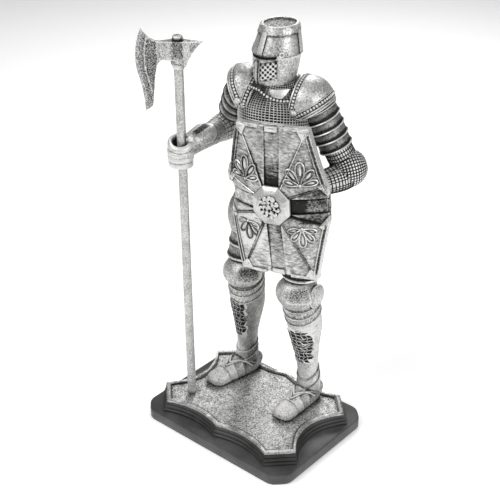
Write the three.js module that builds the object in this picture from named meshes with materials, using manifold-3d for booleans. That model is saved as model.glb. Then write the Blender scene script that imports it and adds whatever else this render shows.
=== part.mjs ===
// A cast knight in antique silver with a cross-shaped shield and a bearded axe, on a scalloped plinth.
// Millimetres, +Z up, origin at the centre of the underside. The knight's left is +X, the front is -Y.
import * as THREE from "three";
import { mergeVertices } from "three/addons/utils/BufferGeometryUtils.js";
import Module from "manifold-3d";

// Base plate and plinth
const plateLength = 135.6;
const plateWidth = 101.5;
const plateThickness = 8.3;
const plateCorner = 9;
const plateEdge = 0.8;
const plinthLedge = { x: 2.3, y: 3.45 };
const plinthSpread = 3;
const plinthLength = plateLength - 2 * (plinthLedge.x + plinthSpread);
const plinthWidth = plateWidth - 2 * (plinthLedge.y + plinthSpread);
const plinthHeight = 10.2;
const plinthCorner = { x: 13, y: 16 };
const longBiteDepth = 5.4;
const longCusp = 2.9;
const shortBiteDepth = 11.8;
const rimWidth = 2.4;
const floorDepth = 1.9;
const fit = 0.3;

// The figure is drawn in hundredths, with its soles at 0 and the highest place of its helm at `drawnTop`.
const figureHeight = 281;
const drawnTop = 99.3;
const unit = figureHeight / drawnTop;
const torsoTurn = 20;

// Axe: its pole stands where the right fist holds it.
const gripPlace = { x: -14.56, y: -8.13, z: 68.8 };
const gripBoreGap = 0.4;
const shaftDiameter = 6.2;
const shaftHeight = 271.8;
const knobDiameter = 6.9;
const knobHeight = 3.2;
const axeLength = 44.6;
const axeHeight = 53;
const axeThickness = 9.8;
const bladeThickness = 2.6;
const axeBody = 11.4;
const axeCollar = 6.5;
const axeTurn = 40;

// Shield
const shieldHeight = 107.5;
const shieldTopWidth = 51.6;
const shieldFootWidth = 56.4;
const shieldWaistWidth = 71.4;
const shieldWaistHeight = 24;
const shieldThickness = 2.6;
const armStrip = 10.8;
const flankRise = 1.2;
const panelRise = 1.8;
const bracketRise = 0.7;
const rimRise = 0.4;
const palmetteHeight = 15.8;
const palmetteRise = 1.7;
const palmetteX = 20;
const palmetteZ = 15.5;
const borderWidth = 2.4;
const bossWidth = 26.6;
const bossFacet = 11.5;
const bossRise = 3.4;
const bossRound = 8;
const bossStep = 0.6;
const reliefSeat = 1.1;
const reliefMargin = 0.1;
const rimStop = 4;
const shieldSideBow = 14;
const shieldFlattening = 0.75;
const shieldEndBow = 6.2;
const shieldTurn = 13;
const shieldRoll = 3.6;
const shieldPlace = { x: 7, y: -0.565, z: 59.36 };

const wasm = await Module();
wasm.setup();
const X = new THREE.Vector3(1, 0, 0);
const Z = new THREE.Vector3(0, 0, 1);
const radians = THREE.MathUtils.degToRad;

// Closed geometry to a solid and back; solids are only joined, cut and intersected.
function solid(geometry) {
  const bare = geometry.clone();
  bare.deleteAttribute("normal");
  bare.deleteAttribute("uv");
  const closed = mergeVertices(bare, 1e-4);
  const triVerts = new Uint32Array(closed.index.array);
  const vertProperties = closed.attributes.position.array;
  return new wasm.Manifold(new wasm.Mesh({ numProp: 3, vertProperties, triVerts }));
}

function geometryOf(body) {
  const mesh = body.getMesh();
  return new THREE.BufferGeometry()
    .setAttribute("position", new THREE.BufferAttribute(new Float32Array(mesh.vertProperties), 3))
    .setIndex(new THREE.BufferAttribute(new Uint32Array(mesh.triVerts), 1));
}

const joined = (solids) => solids.reduce((whole, piece) => whole.add(piece));

function box(low, high) {
  const size = high.map((value, axis) => value - low[axis]);
  const middle = high.map((value, axis) => (value + low[axis]) / 2);
  return solid(new THREE.BoxGeometry(...size).translate(...middle));
}

// A closed form through rings. Each ring has a centre and two half-widths, and may have a turn about Z, a
// power that squares its corners, and a droop that lowers its front and lifts its back. `level` keeps the
// rings flat; otherwise they follow the way.
function loft(rings, { sides = 20, level = true, across = X } = {}) {
  const geometry = new THREE.CylinderGeometry(1, 1, 1, sides, rings.length - 1);
  const places = rings.map((ring) => new THREE.Vector3(...ring.at));
  const frames = rings.map((ring, i) => {
    const ahead = places[Math.min(i + 1, places.length - 1)];
    const behind = places[Math.max(i - 1, 0)];
    const way = level ? Z.clone().negate() : behind.clone().sub(ahead).normalize();
    const side = across.clone().applyAxisAngle(Z, radians(ring.turn ?? 0));
    side.addScaledVector(way, -side.dot(way)).normalize();
    return { side, front: side.clone().cross(way) };
  });
  const { position } = geometry.attributes;
  for (let i = 0; i < position.count; i += 1) {
    const row = Math.round((0.5 - position.getY(i)) * (rings.length - 1));
    const { wide, deep, power = 2, droop = 0 } = rings[row];
    const [c, s] = [position.getX(i), position.getZ(i)];
    const round = (value) => Math.sign(value) * Math.abs(value) ** (2 / power);
    const place = places[row]
      .clone()
      .addScaledVector(frames[row].side, wide * round(c))
      .addScaledVector(frames[row].front, deep * round(s))
      .addScaledVector(Z, droop * s);
    position.setXYZ(i, place.x, place.y, place.z);
  }
  return solid(geometry);
}

function ringBetween(a, b, share, swell) {
  const mix = (p, q) => p + (q - p) * share;
  return {
    at: a.at.map((value, axis) => mix(value, b.at[axis])),
    wide: mix(a.wide, b.wide) + swell,
    deep: mix(a.deep, b.deep) + swell,
    turn: mix(a.turn ?? 0, b.turn ?? 0),
    power: mix(a.power ?? 2, b.power ?? 2),
  };
}

// Overlapping plates from one ring to another, each swelling by `lip` towards its free edge.
function plates(a, b, count, lip) {
  const rings = [];
  for (let i = 0; i < count; i += 1) {
    rings.push(ringBetween(a, b, i / count, 0));
    rings.push(ringBetween(a, b, (i + 0.94) / count, lip));
  }
  return rings;
}

// A ball squashed to three radii, leaned about X and Y, then moved.
function dome(centre, radii, { lean = 0, tip = 0, sides = 18 } = {}) {
  const ball = new THREE.SphereGeometry(1, sides, Math.round(sides * 0.66)).rotateX(Math.PI / 2);
  ball.scale(...radii).rotateX(radians(lean)).rotateY(radians(tip)).translate(...centre);
  return solid(ball);
}

// A profile of [radius, height] points turned about the vertical axis, both ends on the axis.
function turned(profile, sides = 24) {
  const points = profile.map(([radius, height]) => new THREE.Vector2(radius, height));
  return solid(new THREE.LatheGeometry(points, sides).rotateX(Math.PI / 2));
}

// A flat outline in X and Z, given thickness from the depth `front` back to the depth `back`.
function upright(outline, front, back) {
  const geometry = new THREE.ExtrudeGeometry(outline, {
    depth: back - front,
    bevelEnabled: false,
    curveSegments: 6,
  });
  return solid(geometry.rotateX(Math.PI / 2).translate(0, back, 0));
}

const outlineOf = (points) => new THREE.Shape(points.map(([x, y]) => new THREE.Vector2(x, y)));

// Base plate: a slab with clipped corners and slightly rounded edges.
function makeBasePlate() {
  const [x, y] = [plateLength / 2 - plateEdge, plateWidth / 2 - plateEdge];
  const c = plateCorner;
  const corners = [[-x + c, -y], [x - c, -y], [x, -y + c], [x, y - c]];
  const opposite = corners.map(([px, py]) => [-px, -py]);
  return new THREE.ExtrudeGeometry(outlineOf([...corners, ...opposite]), {
    depth: plateThickness - 2 * plateEdge,
    bevelThickness: plateEdge,
    bevelSize: plateEdge,
    bevelSegments: 2,
  }).translate(0, 0, plateEdge);
}

// The plinth's plan: two shallow bites on each long side that meet at a cusp, one deep bite on each
// short side, and straight chamfers between them, all moved outwards by `grow`.
function plinthPlan(grow) {
  const endX = plinthLength / 2 - plinthCorner.x + grow * 0.6;
  const sideX = plinthLength / 2 + grow;
  const endY = plinthWidth / 2 + grow;
  const sideY = plinthWidth / 2 - plinthCorner.y + grow * 0.4;
  const cuspY = endY - longCusp;
  const plan = new THREE.Shape();
  const bite = (fromX, fromY, toX, toY, depth) => {
    const span = new THREE.Vector2(toX - fromX, toY - fromY);
    const inward = new THREE.Vector2(-span.y, span.x).normalize();
    const pull = new THREE.Vector2((fromX + toX) / 2, (fromY + toY) / 2).addScaledVector(inward, 2 * depth);
    plan.quadraticCurveTo(pull.x, pull.y, toX, toY);
  };
  plan.moveTo(-endX, -endY);
  bite(-endX, -endY, 0, -cuspY, longBiteDepth);
  bite(0, -cuspY, endX, -endY, longBiteDepth);
  plan.lineTo(sideX, -sideY);
  bite(sideX, -sideY, sideX, sideY, shortBiteDepth);
  plan.lineTo(endX, endY);
  bite(endX, endY, 0, cuspY, longBiteDepth);
  bite(0, cuspY, -endX, endY, longBiteDepth);
  plan.lineTo(-sideX, sideY);
  bite(-sideX, sideY, -sideX, -sideY, shortBiteDepth);
  return plan;
}

const plinthFoot = plateThickness + fit;
const rimTop = plinthFoot + plinthHeight;
const floorTop = rimTop - floorDepth;

function slice(grow, from, to) {
  const options = { depth: to - from, bevelEnabled: false, curveSegments: 5 };
  return solid(new THREE.ExtrudeGeometry(plinthPlan(grow), options).translate(0, 0, from));
}

// Plinth: three mouldings that step out towards the plate, and a sunk floor inside the rim.
function makePlinth() {
  const steps = [[1, 0, 0.24], [0.62, 0.24, 0.5], [0.3, 0.5, 0.76], [0, 0.76, 1]];
  const mouldings = steps.map(([spread, low, high]) =>
    slice(spread * plinthSpread, plinthFoot + low * plinthHeight, plinthFoot + high * plinthHeight),
  );
  return joined(mouldings).subtract(slice(-rimWidth, floorTop, rimTop + 1));
}

// The figure and the pole stand on the plinth's floor, and the torso is turned on the hips.
const footing = floorTop + fit;
const torsoFrame = new THREE.Matrix4().makeRotationZ(radians(torsoTurn)).setPosition(0.6, 9.05, 0);
const torsoInverse = torsoFrame.clone().invert();
const [shaftX, shaftY] = [gripPlace.x * unit, gripPlace.y * unit];
const grip = new THREE.Vector3(gripPlace.x, gripPlace.y, gripPlace.z).applyMatrix4(torsoInverse);

// The shield's frame: its own centre line, turned and rolled a little, before the body.
const shieldFrame = new THREE.Matrix4()
  .makeTranslation(shieldPlace.x * unit, shieldPlace.y * unit, footing + shieldPlace.z * unit)
  .multiply(new THREE.Matrix4().makeRotationZ(radians(shieldTurn)))
  .multiply(new THREE.Matrix4().makeRotationY(-radians(shieldRoll)));

// How far the bowed shield has fallen back from its centre.
function shieldBend(x, z) {
  const rise = Math.abs(z / (shieldHeight / 2));
  const flatter = Math.max(0, 1 - shieldFlattening * rise);
  return shieldSideBow * flatter * (x / (shieldWaistWidth / 2)) ** 2 + shieldEndBow * rise;
}

// A point behind the shield, in the torso's frame and the figure's own measure.
function behindShield(x, z, depth) {
  const place = new THREE.Vector3(x, shieldBend(x, z) + depth, z).applyMatrix4(shieldFrame);
  place.z -= footing;
  return place.divideScalar(unit).applyMatrix4(torsoInverse);
}

const placed = (body, matrix) => body.transform(matrix.elements);

// Helm: a tapering bucket with a sunk top that leans forwards, a brow over the slit and crossing bands.
const helm = { x: 0.3, y: 8.7, turn: -12, keel: 0.7, facing: 42, lean: 0.05, setback: 0.13 };
const [slitHeight, slitDepth, slitReach] = [92.05, 0.6, 50];
const [chinHeight, jawHeight, browHeight, crownHeight] = [85.2, 89, 93.9, 97.15];
const bandSwell = 0.3;
const collarTop = { height: 86.6, wide: 4.6, deep: 4.4 };

function helmBody(swell) {
  const g = swell;
  const tuck = swell / 3;
  const rim = drawnTop - helm.lean * (4.2 + bandSwell) - bandSwell / 3 + tuck;
  const profile = [
    [0, chinHeight], [3.9, chinHeight], [4.6 + g, 86], [5.1 + g, 88.2], [5.5 + g, 91.6], [5.62 + g, 92.3],
    [5.75 + g, 92.6], [5.5 + g, 94], [4.7 + g, crownHeight], [4.2 + g, rim], [3.75 - tuck, rim],
    [3.55 - tuck, rim - 0.5 - tuck], [0, rim - 0.5 - tuck],
  ];
  const points = profile.map(([radius, height]) => new THREE.Vector2(radius, height));
  const body = new THREE.LatheGeometry(points, 18).rotateX(Math.PI / 2);
  const { position } = body.attributes;
  for (let i = 0; i < position.count; i += 1) {
    const [x, y, z] = [position.getX(i), position.getY(i), position.getZ(i)];
    const below = THREE.MathUtils.clamp((slitHeight - z) / 3, 0, 1);
    const facing = Math.max(0, 1 - Math.abs(Math.atan2(x, -y)) / radians(helm.facing));
    const radius = Math.hypot(x, y);
    const reach = radius > 3 ? 1 + (helm.keel * below * facing) / radius : 1;
    const jaw = z < jawHeight ? 0.24 : 0;
    const crown = z > browHeight ? helm.lean : 0;
    const back = Math.max(0, z - slitHeight) * helm.setback;
    position.setXYZ(i, x * reach, y * reach + back, z + (jaw + crown) * y);
  }
  return solid(body);
}

function makeHelm() {
  const around = 8;
  const bands = [0, 119, 180, 241].map((azimuth) => {
    const band = new THREE.BoxGeometry(2.1, around, 7).translate(0, -around / 2, 96);
    return solid(band.rotateZ(radians(azimuth)));
  });
  const brow = box([-around, -around, slitHeight], [around, around, browHeight]);
  const crown = box([-around, -around, crownHeight], [around, around, drawnTop + 1]);
  const slit = new THREE.Shape();
  const reach = radians(slitReach);
  slit.absarc(0, 0, around, -Math.PI / 2 - reach, -Math.PI / 2 + reach, false);
  slit.absarc(0, 0, 4.7, -Math.PI / 2 + reach, -Math.PI / 2 - reach, true);
  const options = { depth: slitDepth, bevelEnabled: false, curveSegments: 8 };
  const opening = new THREE.ExtrudeGeometry(slit, options).translate(0, 0, slitHeight - slitDepth / 2);
  const bucket = helmBody(0).add(helmBody(bandSwell).intersect(joined([...bands, brow, crown])));
  return bucket.subtract(solid(opening)).rotate([0, 0, helm.turn]).translate([helm.x, helm.y, 0]);
}

// Torso, in its own turned frame: mail above, plates across the belly, a skirt of plates at the hips.
function makeTorso() {
  const hip = { at: [-1.1, -0.4, 52.6], wide: 11, deep: 7.8, turn: -8 };
  const belt = { at: [-0.8, -0.2, 63.4], wide: 8.4, deep: 6, turn: -4 };
  const body = loft(
    [
      { at: [-1.1, -0.7, 46], wide: 7.6, deep: 5.4, turn: -14 },
      { at: [-1.1, -0.5, 52.4], wide: 9.4, deep: 6.6, turn: -10 },
      ...plates(hip, belt, 4, -0.5),
      { at: [-0.6, 0, 64], wide: 8.7, deep: 6.3 },
      { at: [-0.4, 0, 65.6], wide: 8.3, deep: 6 },
      { at: [-0.2, 0, 70], wide: 9, deep: 6.2, power: 2.2 },
      { at: [0, 0, 76], wide: 9.8, deep: 6.7, power: 2.3 },
      { at: [0, 0.1, 80.5], wide: 9.6, deep: 6.4, power: 2.3 },
      { at: [0, 0.3, 83.6], wide: 8, deep: 5.4 },
      { at: [-0.3, 0.2, 84.8], wide: 5.6, deep: 4.8 },
    ],
    { sides: 15 },
  );
  const collar = loft(
    [
      { at: [-0.2, -0.2, 80.6], wide: 7.4, deep: 6.6 },
      { at: [-0.2, -0.2, 82.6], wide: 6.5, deep: 6.1 },
      { at: [-0.2, -0.1, 83.2], wide: 6.5, deep: 5.9 },
      { at: [-0.2, 0, 83.4], wide: 5.9, deep: 5.4 },
      { at: [-0.1, 0.2, collarTop.height], wide: collarTop.wide, deep: collarTop.deep },
    ],
    { sides: 16 },
  );
  const rosette = dome([-10.2, -1.6, 61.6], [2.1, 2.3, 2.3], { sides: 8 });
  return joined([body, collar, rosette]);
}

// A shoulder plate: a dome kept between its inner edge, its bottom edge and its leaning outer rim.
const pauldrons = {
  left: {
    side: 1,
    middle: [7.4, 0, 81.4],
    radii: [6, 6.4, 5.9],
    inner: { x: 4, lean: 11 },
    outer: { x: 8.2, lean: 33 },
    bottom: 78.7,
  },
  right: {
    side: -1,
    middle: [8.1, 0, 82.4],
    radii: [5.4, 6.4, 6.1],
    inner: { x: 6, lean: -18 },
    outer: { x: 8.2, lean: 62 },
    bottom: 80.2,
  },
};

function makePauldron({ side, middle, radii, inner, outer, bottom }) {
  const reach = 40;
  const block = () => new THREE.BoxGeometry(2 * reach, 2 * reach, 2 * reach);
  const cutters = [
    block().translate(-reach, 0, 0).rotateY(radians(inner.lean)).translate(inner.x, 0, bottom),
    block().translate(0, 0, -reach).rotateY(-radians(outer.lean)).translate(outer.x, 0, bottom + 0.3),
    block().translate(0, 0, bottom - reach),
  ];
  const shell = dome(middle, radii, { sides: 15 });
  const cap = cutters.reduce((kept, cutter) => kept.subtract(solid(cutter)), shell);
  return side < 0 ? cap.mirror([1, 0, 0]) : cap;
}

function makeLeftArm() {
  const upper = { at: [8.4, 0, 82], wide: 4.3, deep: 4.6 };
  const lower = { at: [13.9, 1.3, 70.4], wide: 3.6, deep: 3.8 };
  const handDeep = 1.7;
  const hand = behindShield(4, 2, handDeep * unit + fit).toArray();
  return joined([
    loft([...plates(upper, lower, 5, 0.55), { at: [15.2, 1.6, 68], wide: 3.5, deep: 3.5 }], {
      sides: 12,
      level: false,
    }),
    loft(
      [
        { at: [17.4, 1.6, 64.2], wide: 3.4, deep: 3.4 },
        { at: [15.4, -0.8, 63.6], wide: 3.4, deep: 3.4 },
        { at: [10.6, -5.2, 62.4], wide: 2.7, deep: 2.6 },
        { at: [hand[0] + 1.6, hand[1] + 0.8, hand[2] + 0.3], wide: 2.4, deep: 1.9 },
      ],
      { sides: 12, level: false, across: Z },
    ),
    dome([16.9, 1.8, 65.2], [4.4, 4.2, 4.6], { sides: 10 }),
    dome(hand, [2.6, handDeep, 2.6], { sides: 8 }),
  ]);
}

const handRadius = 3.1;
const handHeight = 6;
const fingerGroove = 0.25;
const handShift = { x: -0.25, y: -0.3 };

// A closed hand: four rounded fingers one over another, and a thumb that lies across them.
function makeHand() {
  const finger = handHeight / 4;
  const fingers = [-1.5, -0.5, 0.5, 1.5].flatMap((place) => {
    const middle = grip.z + place * finger;
    return [
      [handRadius - fingerGroove, middle - finger / 2],
      [handRadius, middle - finger / 4],
      [handRadius, middle + finger / 4],
    ];
  });
  const [low, high] = [grip.z - handHeight / 2, grip.z + handHeight / 2];
  const fist = turned([[0, low], ...fingers, [handRadius - fingerGroove, high], [0, high]], 12);
  const thumb = loft(
    [
      { at: [grip.x + 2.4, grip.y + 1.6, grip.z + 1.4], wide: 0.9, deep: 0.9 },
      { at: [grip.x + 2.9, grip.y - 0.6, grip.z + 1.9], wide: 1, deep: 1 },
      { at: [grip.x + 1.9, grip.y - 2.7, grip.z + 1.5], wide: 0.8, deep: 0.8 },
    ],
    { sides: 8, level: false, across: Z },
  );
  return fist.translate([grip.x + handShift.x, grip.y + handShift.y, 0]).add(thumb);
}

function makeRightArm() {
  const shoulder = { at: [-8.6, 0, 82.6], wide: 4, deep: 4.6 };
  const elbow = [-14.4, 6, 71];
  const wrist = [grip.x, grip.y, grip.z + 0.8];
  const along = (share) => elbow.map((value, axis) => value + (wrist[axis] - value) * share);
  const upper = loft(
    [
      ...plates(shoulder, { at: [-12.6, 4, 75.4], wide: 3.4, deep: 3.5 }, 3, 0.5),
      { at: [-13.8, 5.4, 72.6], wide: 3.5, deep: 3.5 },
      { at: [-14.4, 6.2, 70], wide: 2.6, deep: 2.6 },
    ],
    { sides: 12, level: false },
  );
  const forearm = loft(
    [
      { at: along(-0.12), wide: 2.4, deep: 2.4 },
      { at: along(0), wide: 3.6, deep: 3.5 },
      { at: along(0.2), wide: 3.4, deep: 3.2 },
      { at: along(0.24), wide: 2.9, deep: 2.8 },
      { at: along(0.44), wide: 2.6, deep: 2.5 },
      { at: along(0.46), wide: 3.3, deep: 3.1 },
      { at: along(0.74), wide: 2.4, deep: 2.4 },
      { at: along(0.95), wide: 2.4, deep: 2.7 },
    ],
    { sides: 12, level: false },
  );
  return joined([upper, forearm, makeHand()]);
}

// One leg: cuisse, knee plate with its side wing, greave with the calf behind, and a plated shoe.
const legs = {
  right: {
    side: -1,
    hip: [-5.2, 8.2, 53],
    knee: [-9.1, 8, 32.3],
    ankle: [-10.35, 9.7, 6.1],
    toe: [-12.8, -2.1],
  },
  left: {
    side: 1,
    hip: [5.2, 8.6, 53],
    knee: [8.6, 8, 32.7],
    ankle: [10.85, 9.7, 6.6],
    toe: [10.8, -2.4],
  },
};

function makeLeg({ side, hip, knee, ankle, toe }) {
  const shin = (share, back) => [
    ankle[0] + (knee[0] - ankle[0]) * share,
    ankle[1] + (knee[1] - ankle[1]) * share + back,
    ankle[2] + (knee[2] - ankle[2]) * share,
  ];
  const droop = 1.2;
  const cuisseTop = { at: [hip[0] + side * 0.6, hip[1] + 1, hip[2]], wide: 6.2, deep: 6 };
  const cuisseEnd = { at: [knee[0] + side * 0.3, knee[1] + 0.2, knee[2] + 4.6], wide: 4.9, deep: 4.7 };
  const leg = loft(
    [
      { at: [ankle[0], ankle[1], 2.4], wide: 2.6, deep: 3.2 },
      { at: shin(0, 0), wide: 2.9, deep: 3.2 },
      { at: shin(0.12, 0), wide: 2.6, deep: 2.8 },
      { at: shin(0.3, 0.2), wide: 2.9, deep: 3.2 },
      { at: shin(0.48, 0.5), wide: 3.6, deep: 4.2 },
      { at: shin(0.62, 0.6), wide: 4.2, deep: 4.8 },
      { at: shin(0.76, 0.4), wide: 4.35, deep: 4.8, droop },
      { at: shin(0.77, 0.2), wide: 4.75, deep: 5.1, droop },
      { at: shin(0.84, 0), wide: 4.6, deep: 4.9, droop },
      { at: shin(0.85, 0), wide: 4.9, deep: 5.2, droop },
      { at: shin(0.93, 0), wide: 4.7, deep: 4.9, droop: droop / 2 },
      { at: [knee[0], knee[1], knee[2] + 3], wide: 4.5, deep: 4.8 },
      ...plates(cuisseEnd, cuisseTop, 3, -0.45),
      { at: [hip[0], hip[1] + 1, hip[2] + 3], wide: 4.6, deep: 4.6 },
    ],
    { sides: 12 },
  );
  const cap = dome([knee[0], knee[1] - 1.4, knee[2] + 0.2], [5.3, 4.9, 4.4], { lean: -10, sides: 10 });
  const wing = dome([knee[0] + side * 4.6, knee[1] + 0.6, knee[2]], [1.1, 2.8, 3], { sides: 8 });
  const width = 2.75;
  const ring = (y, half, height) => {
    const slide = (y - toe[1]) / (ankle[1] - toe[1]);
    return { at: [toe[0] + (ankle[0] - toe[0]) * slide, y, height * 0.36], wide: half, deep: height * 0.64 };
  };
  const shoe = loft(
    [
      ring(ankle[1] + 2.7, 1.6, 3),
      ring(ankle[1] + 1.9, 2.4, 5),
      ring(ankle[1] - 0.6, width, 6),
      ring(ankle[1] - 3, width, 5.3),
      ...plates(ring(ankle[1] - 3.1, width + 0.15, 5.5), ring(toe[1] + 3.4, width + 0.1, 3.6), 2, -0.3),
      ring(toe[1] + 3.3, width + 0.15, 3.6),
      ring(toe[1] + 1.3, width + 0.1, 3),
      ring(toe[1] + 0.3, width - 0.4, 2.2),
      ring(toe[1], 1.9, 1.3),
    ],
    { sides: 10, level: false },
  );
  const tasset = dome([hip[0] + side * 3.2, hip[1] - 1, 49.5], [4.2, 4.8, 6.5], { sides: 10 });
  const under = 40;
  return joined([leg, tasset, cap, wing, shoe]).subtract(box([-under, -under, -under], [under, under, 0]));
}

function makeFigure() {
  const shoulders = Object.values(pauldrons).map(makePauldron);
  const upper = joined([makeTorso(), ...shoulders, makeLeftArm(), makeRightArm()]);
  const body = joined([placed(upper, torsoFrame), makeHelm(), ...Object.values(legs).map(makeLeg)]);
  const sized = body.scale([unit, unit, unit]).translate([0, 0, footing]);
  return sized.subtract(shaftBore(gripBoreGap)).subtract(shieldSpace());
}

// The round pole from the plinth's floor up through the fist, and the same pole grown by a gap.
const shaftTop = footing + shaftHeight;

function shaftBore(gap) {
  const radius = shaftDiameter / 2 + gap;
  const bore = turned([[0, footing], [radius, footing], [radius, shaftTop], [0, shaftTop]], 24);
  return bore.translate([shaftX, shaftY, 0]);
}

function makeShaft() {
  const [pole, knob] = [shaftDiameter / 2, knobDiameter / 2];
  const shaft = turned(
    [
      [0, footing], [pole, footing], [pole, shaftTop], [knob, shaftTop],
      [knob, shaftTop + knobHeight * 0.6], [knob * 0.8, shaftTop + knobHeight], [0, shaftTop + knobHeight],
    ],
    20,
  );
  return shaft.translate([shaftX, shaftY, 0]);
}

// Axe head: drawn with the blade towards -X, thickened by its plan, then turned about the shaft.
function makeAxeHead() {
  const [blade, spike] = [axeLength * -0.63, axeLength * 0.37];
  const [high, low] = [axeHeight * 0.28, axeHeight * -0.76];
  const [top, bottom] = [axeBody * 0.6, axeBody * -0.46];
  const outline = new THREE.Shape();
  outline.moveTo(blade * 0.83, high);
  outline.quadraticCurveTo(blade * 0.7, top * 1.1, blade * 0.42, top * 0.92);
  outline.quadraticCurveTo(0, top * 1.08, spike, top * 0.86);
  outline.quadraticCurveTo(spike * 0.58, top * 0.3, spike * 0.3, bottom - axeCollar * 0.7);
  outline.lineTo(0, bottom);
  outline.lineTo(blade * 0.3, bottom);
  outline.quadraticCurveTo(blade * 0.54, bottom, blade * 0.56, low * 0.6);
  outline.lineTo(blade * 0.62, low * 0.9);
  outline.lineTo(blade * 0.8, low);
  outline.quadraticCurveTo(blade * 0.8, low * 0.7, blade * 0.94, low * 0.36);
  outline.quadraticCurveTo(blade * 1.05, 0, blade * 0.83, high);
  const half = axeThickness / 2;
  const plan = [
    [blade * 1.1, 0.2], [blade * 0.8, bladeThickness / 2], [blade * 0.42, bladeThickness / 2],
    [blade * 0.2, half * 0.86], [0, half], [spike * 0.36, half * 0.8], [spike, 0.3],
  ];
  const around = [...plan, ...plan.map(([x, y]) => [x, -y]).reverse()];
  const column = new THREE.ExtrudeGeometry(outlineOf(around), { depth: 3 * axeHeight, bevelEnabled: false });
  const head = upright(outline, -axeThickness, axeThickness).intersect(
    solid(column.translate(0, 0, -1.5 * axeHeight)),
  );
  const [socket, cone, foot] = [bottom + axeCollar / 2, bottom - axeCollar * 0.45, bottom - axeCollar];
  const collar = turned(
    [[0, foot], [half * 0.76, foot], [half * 0.98, cone], [half * 0.98, socket], [0, socket]],
    16,
  );
  const eyeRadius = shaftDiameter / 2 + fit;
  const eye = turned([[0, -axeHeight], [eyeRadius, -axeHeight], [eyeRadius, axeHeight], [0, axeHeight]], 24);
  const whole = head.add(collar).subtract(eye).rotate([0, 0, axeTurn]);
  return whole.translate([shaftX, shaftY, shaftTop - top - fit]);
}

// Shield, drawn about its own centre with its face towards -Y.
function shieldOutline(inset) {
  const [head, foot, waist] = [shieldTopWidth, shieldFootWidth, shieldWaistWidth].map((w) => w / 2 - inset);
  const [top, step] = [shieldHeight / 2 - inset, shieldWaistHeight / 2 - inset * 0.3];
  const half = [[head, top], [waist, step], [waist, -step], [foot, -top]];
  return [...half, ...half.map(([x, z]) => [-x, z]).reverse()];
}

// Lays a form drawn on a flat shield over the bowed one.
function bowed(geometry) {
  const { position } = geometry.attributes;
  for (let i = 0; i < position.count; i += 1) {
    position.setY(i, position.getY(i) + shieldBend(position.getX(i), position.getZ(i)));
  }
  return solid(geometry);
}

// A box splits the squares of opposite faces along opposite diagonals. This turns those of the face towards
// +Y, so that a bowed plate is as thick everywhere as it is at its corners.
function evenBox(wide, deep, high, columns, rows) {
  const geometry = new THREE.BoxGeometry(wide, deep, high, columns, 1, rows);
  const { index, groups } = geometry;
  const { start, count } = groups[2];
  for (let i = start; i < start + count; i += 6) {
    const [a, b, d, c] = [0, 1, 2, 4].map((corner) => index.getX(i + corner));
    [a, b, c, a, c, d].forEach((corner, place) => index.setX(i + place, corner));
  }
  return geometry;
}

// The part of the bowed plate that stands behind a flat outline, between two depths.
function relief(points, front, back) {
  const plate = evenBox(1.1 * shieldWaistWidth, back - front, 1.1 * shieldHeight, 6, 2);
  plate.translate(0, (front + back) / 2, 0);
  return bowed(plate).intersect(upright(outlineOf(points), -2 * shieldHeight, 2 * shieldHeight));
}

// Lobes fanned out from a point, each a low dome seated as deep as the flanks; `up` is 1 or -1.
function palmette(x, z, up) {
  const rise = palmetteRise + panelRise - flankRise;
  return [-2, -1, 0, 1, 2].map((lobe) => {
    const length = palmetteHeight * (up < 0 ? 0.85 : 1) * (1 - 0.15 * Math.abs(lobe));
    const petal = new THREE.SphereGeometry(1, 6, 3).scale(length * 0.15, rise, length / 2);
    petal.translate(0, 0, length / 2).rotateY(radians(lobe * 38) + (up < 0 ? Math.PI : 0));
    return bowed(petal.translate(x, -shieldThickness - flankRise, z));
  });
}

function makeShield() {
  const face = -shieldThickness;
  const bracket = face - panelRise - bracketRise;
  const waist = shieldWaistWidth / 2;
  const [top, step] = [shieldHeight / 2, shieldWaistHeight / 2];
  const strip = armStrip / 2;
  const core = bossWidth / 2 - 1;
  const hip = [waist * 0.95, step * 1.15];
  const pieces = [];
  for (const sx of [-1, 1]) {
    for (const sz of [-1, 1]) {
      const end = (sz < 0 ? shieldFootWidth : shieldTopWidth) / 2;
      const shoulder = [end * 0.84, top * 0.86];
      const add = (points, front) => {
        const outline = points.map(([x, z]) => [x * sx, z * sz]);
        pieces.push(relief(outline, front, -reliefSeat));
      };
      const facet = bossFacet / 2 + 1;
      const panel = [[facet, core], shoulder, [end * 0.94, top * 0.87], hip, [core, facet]];
      const low = top * 0.84;
      add(panel, face - panelRise);
      add([[strip, core], [strip, top], [shoulder[0], top], shoulder], face - flankRise);
      add([[core, strip], [waist, strip], [waist, step * 0.9], hip], face - flankRise);
      add([[end * 0.76, top], [end, top], [end * 1.04, low], [end * 0.8, low]], bracket);
      const corner = [[waist * 0.84, step * 1.2], [waist * 0.94, step * 1.4]];
      add([...corner, [waist, step], [waist, step * 0.62]], bracket);
      pieces.push(...palmette(sx * palmetteX, sz * palmetteZ, sz));
    }
  }
  const rim = relief(shieldOutline(0), face - panelRise - rimRise, -reliefSeat * 1.1);
  const wide = [[strip + rimStop, 3 * top], [3 * waist, strip + 1]];
  const window = upright(outlineOf(shieldOutline(borderWidth)), -top, top);
  const clear = wide.map(([x, z]) => box([-x, -top, -z], [x, top, z]));
  pieces.push([window, ...clear].reduce((kept, cutter) => kept.subtract(cutter), rim));
  pieces.push(makeBoss(face));
  const raised = joined(pieces).intersect(upright(outlineOf(shieldOutline(reliefMargin)), -top, top));
  return placed(relief(shieldOutline(0), face, 0).add(raised), shieldFrame);
}

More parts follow.
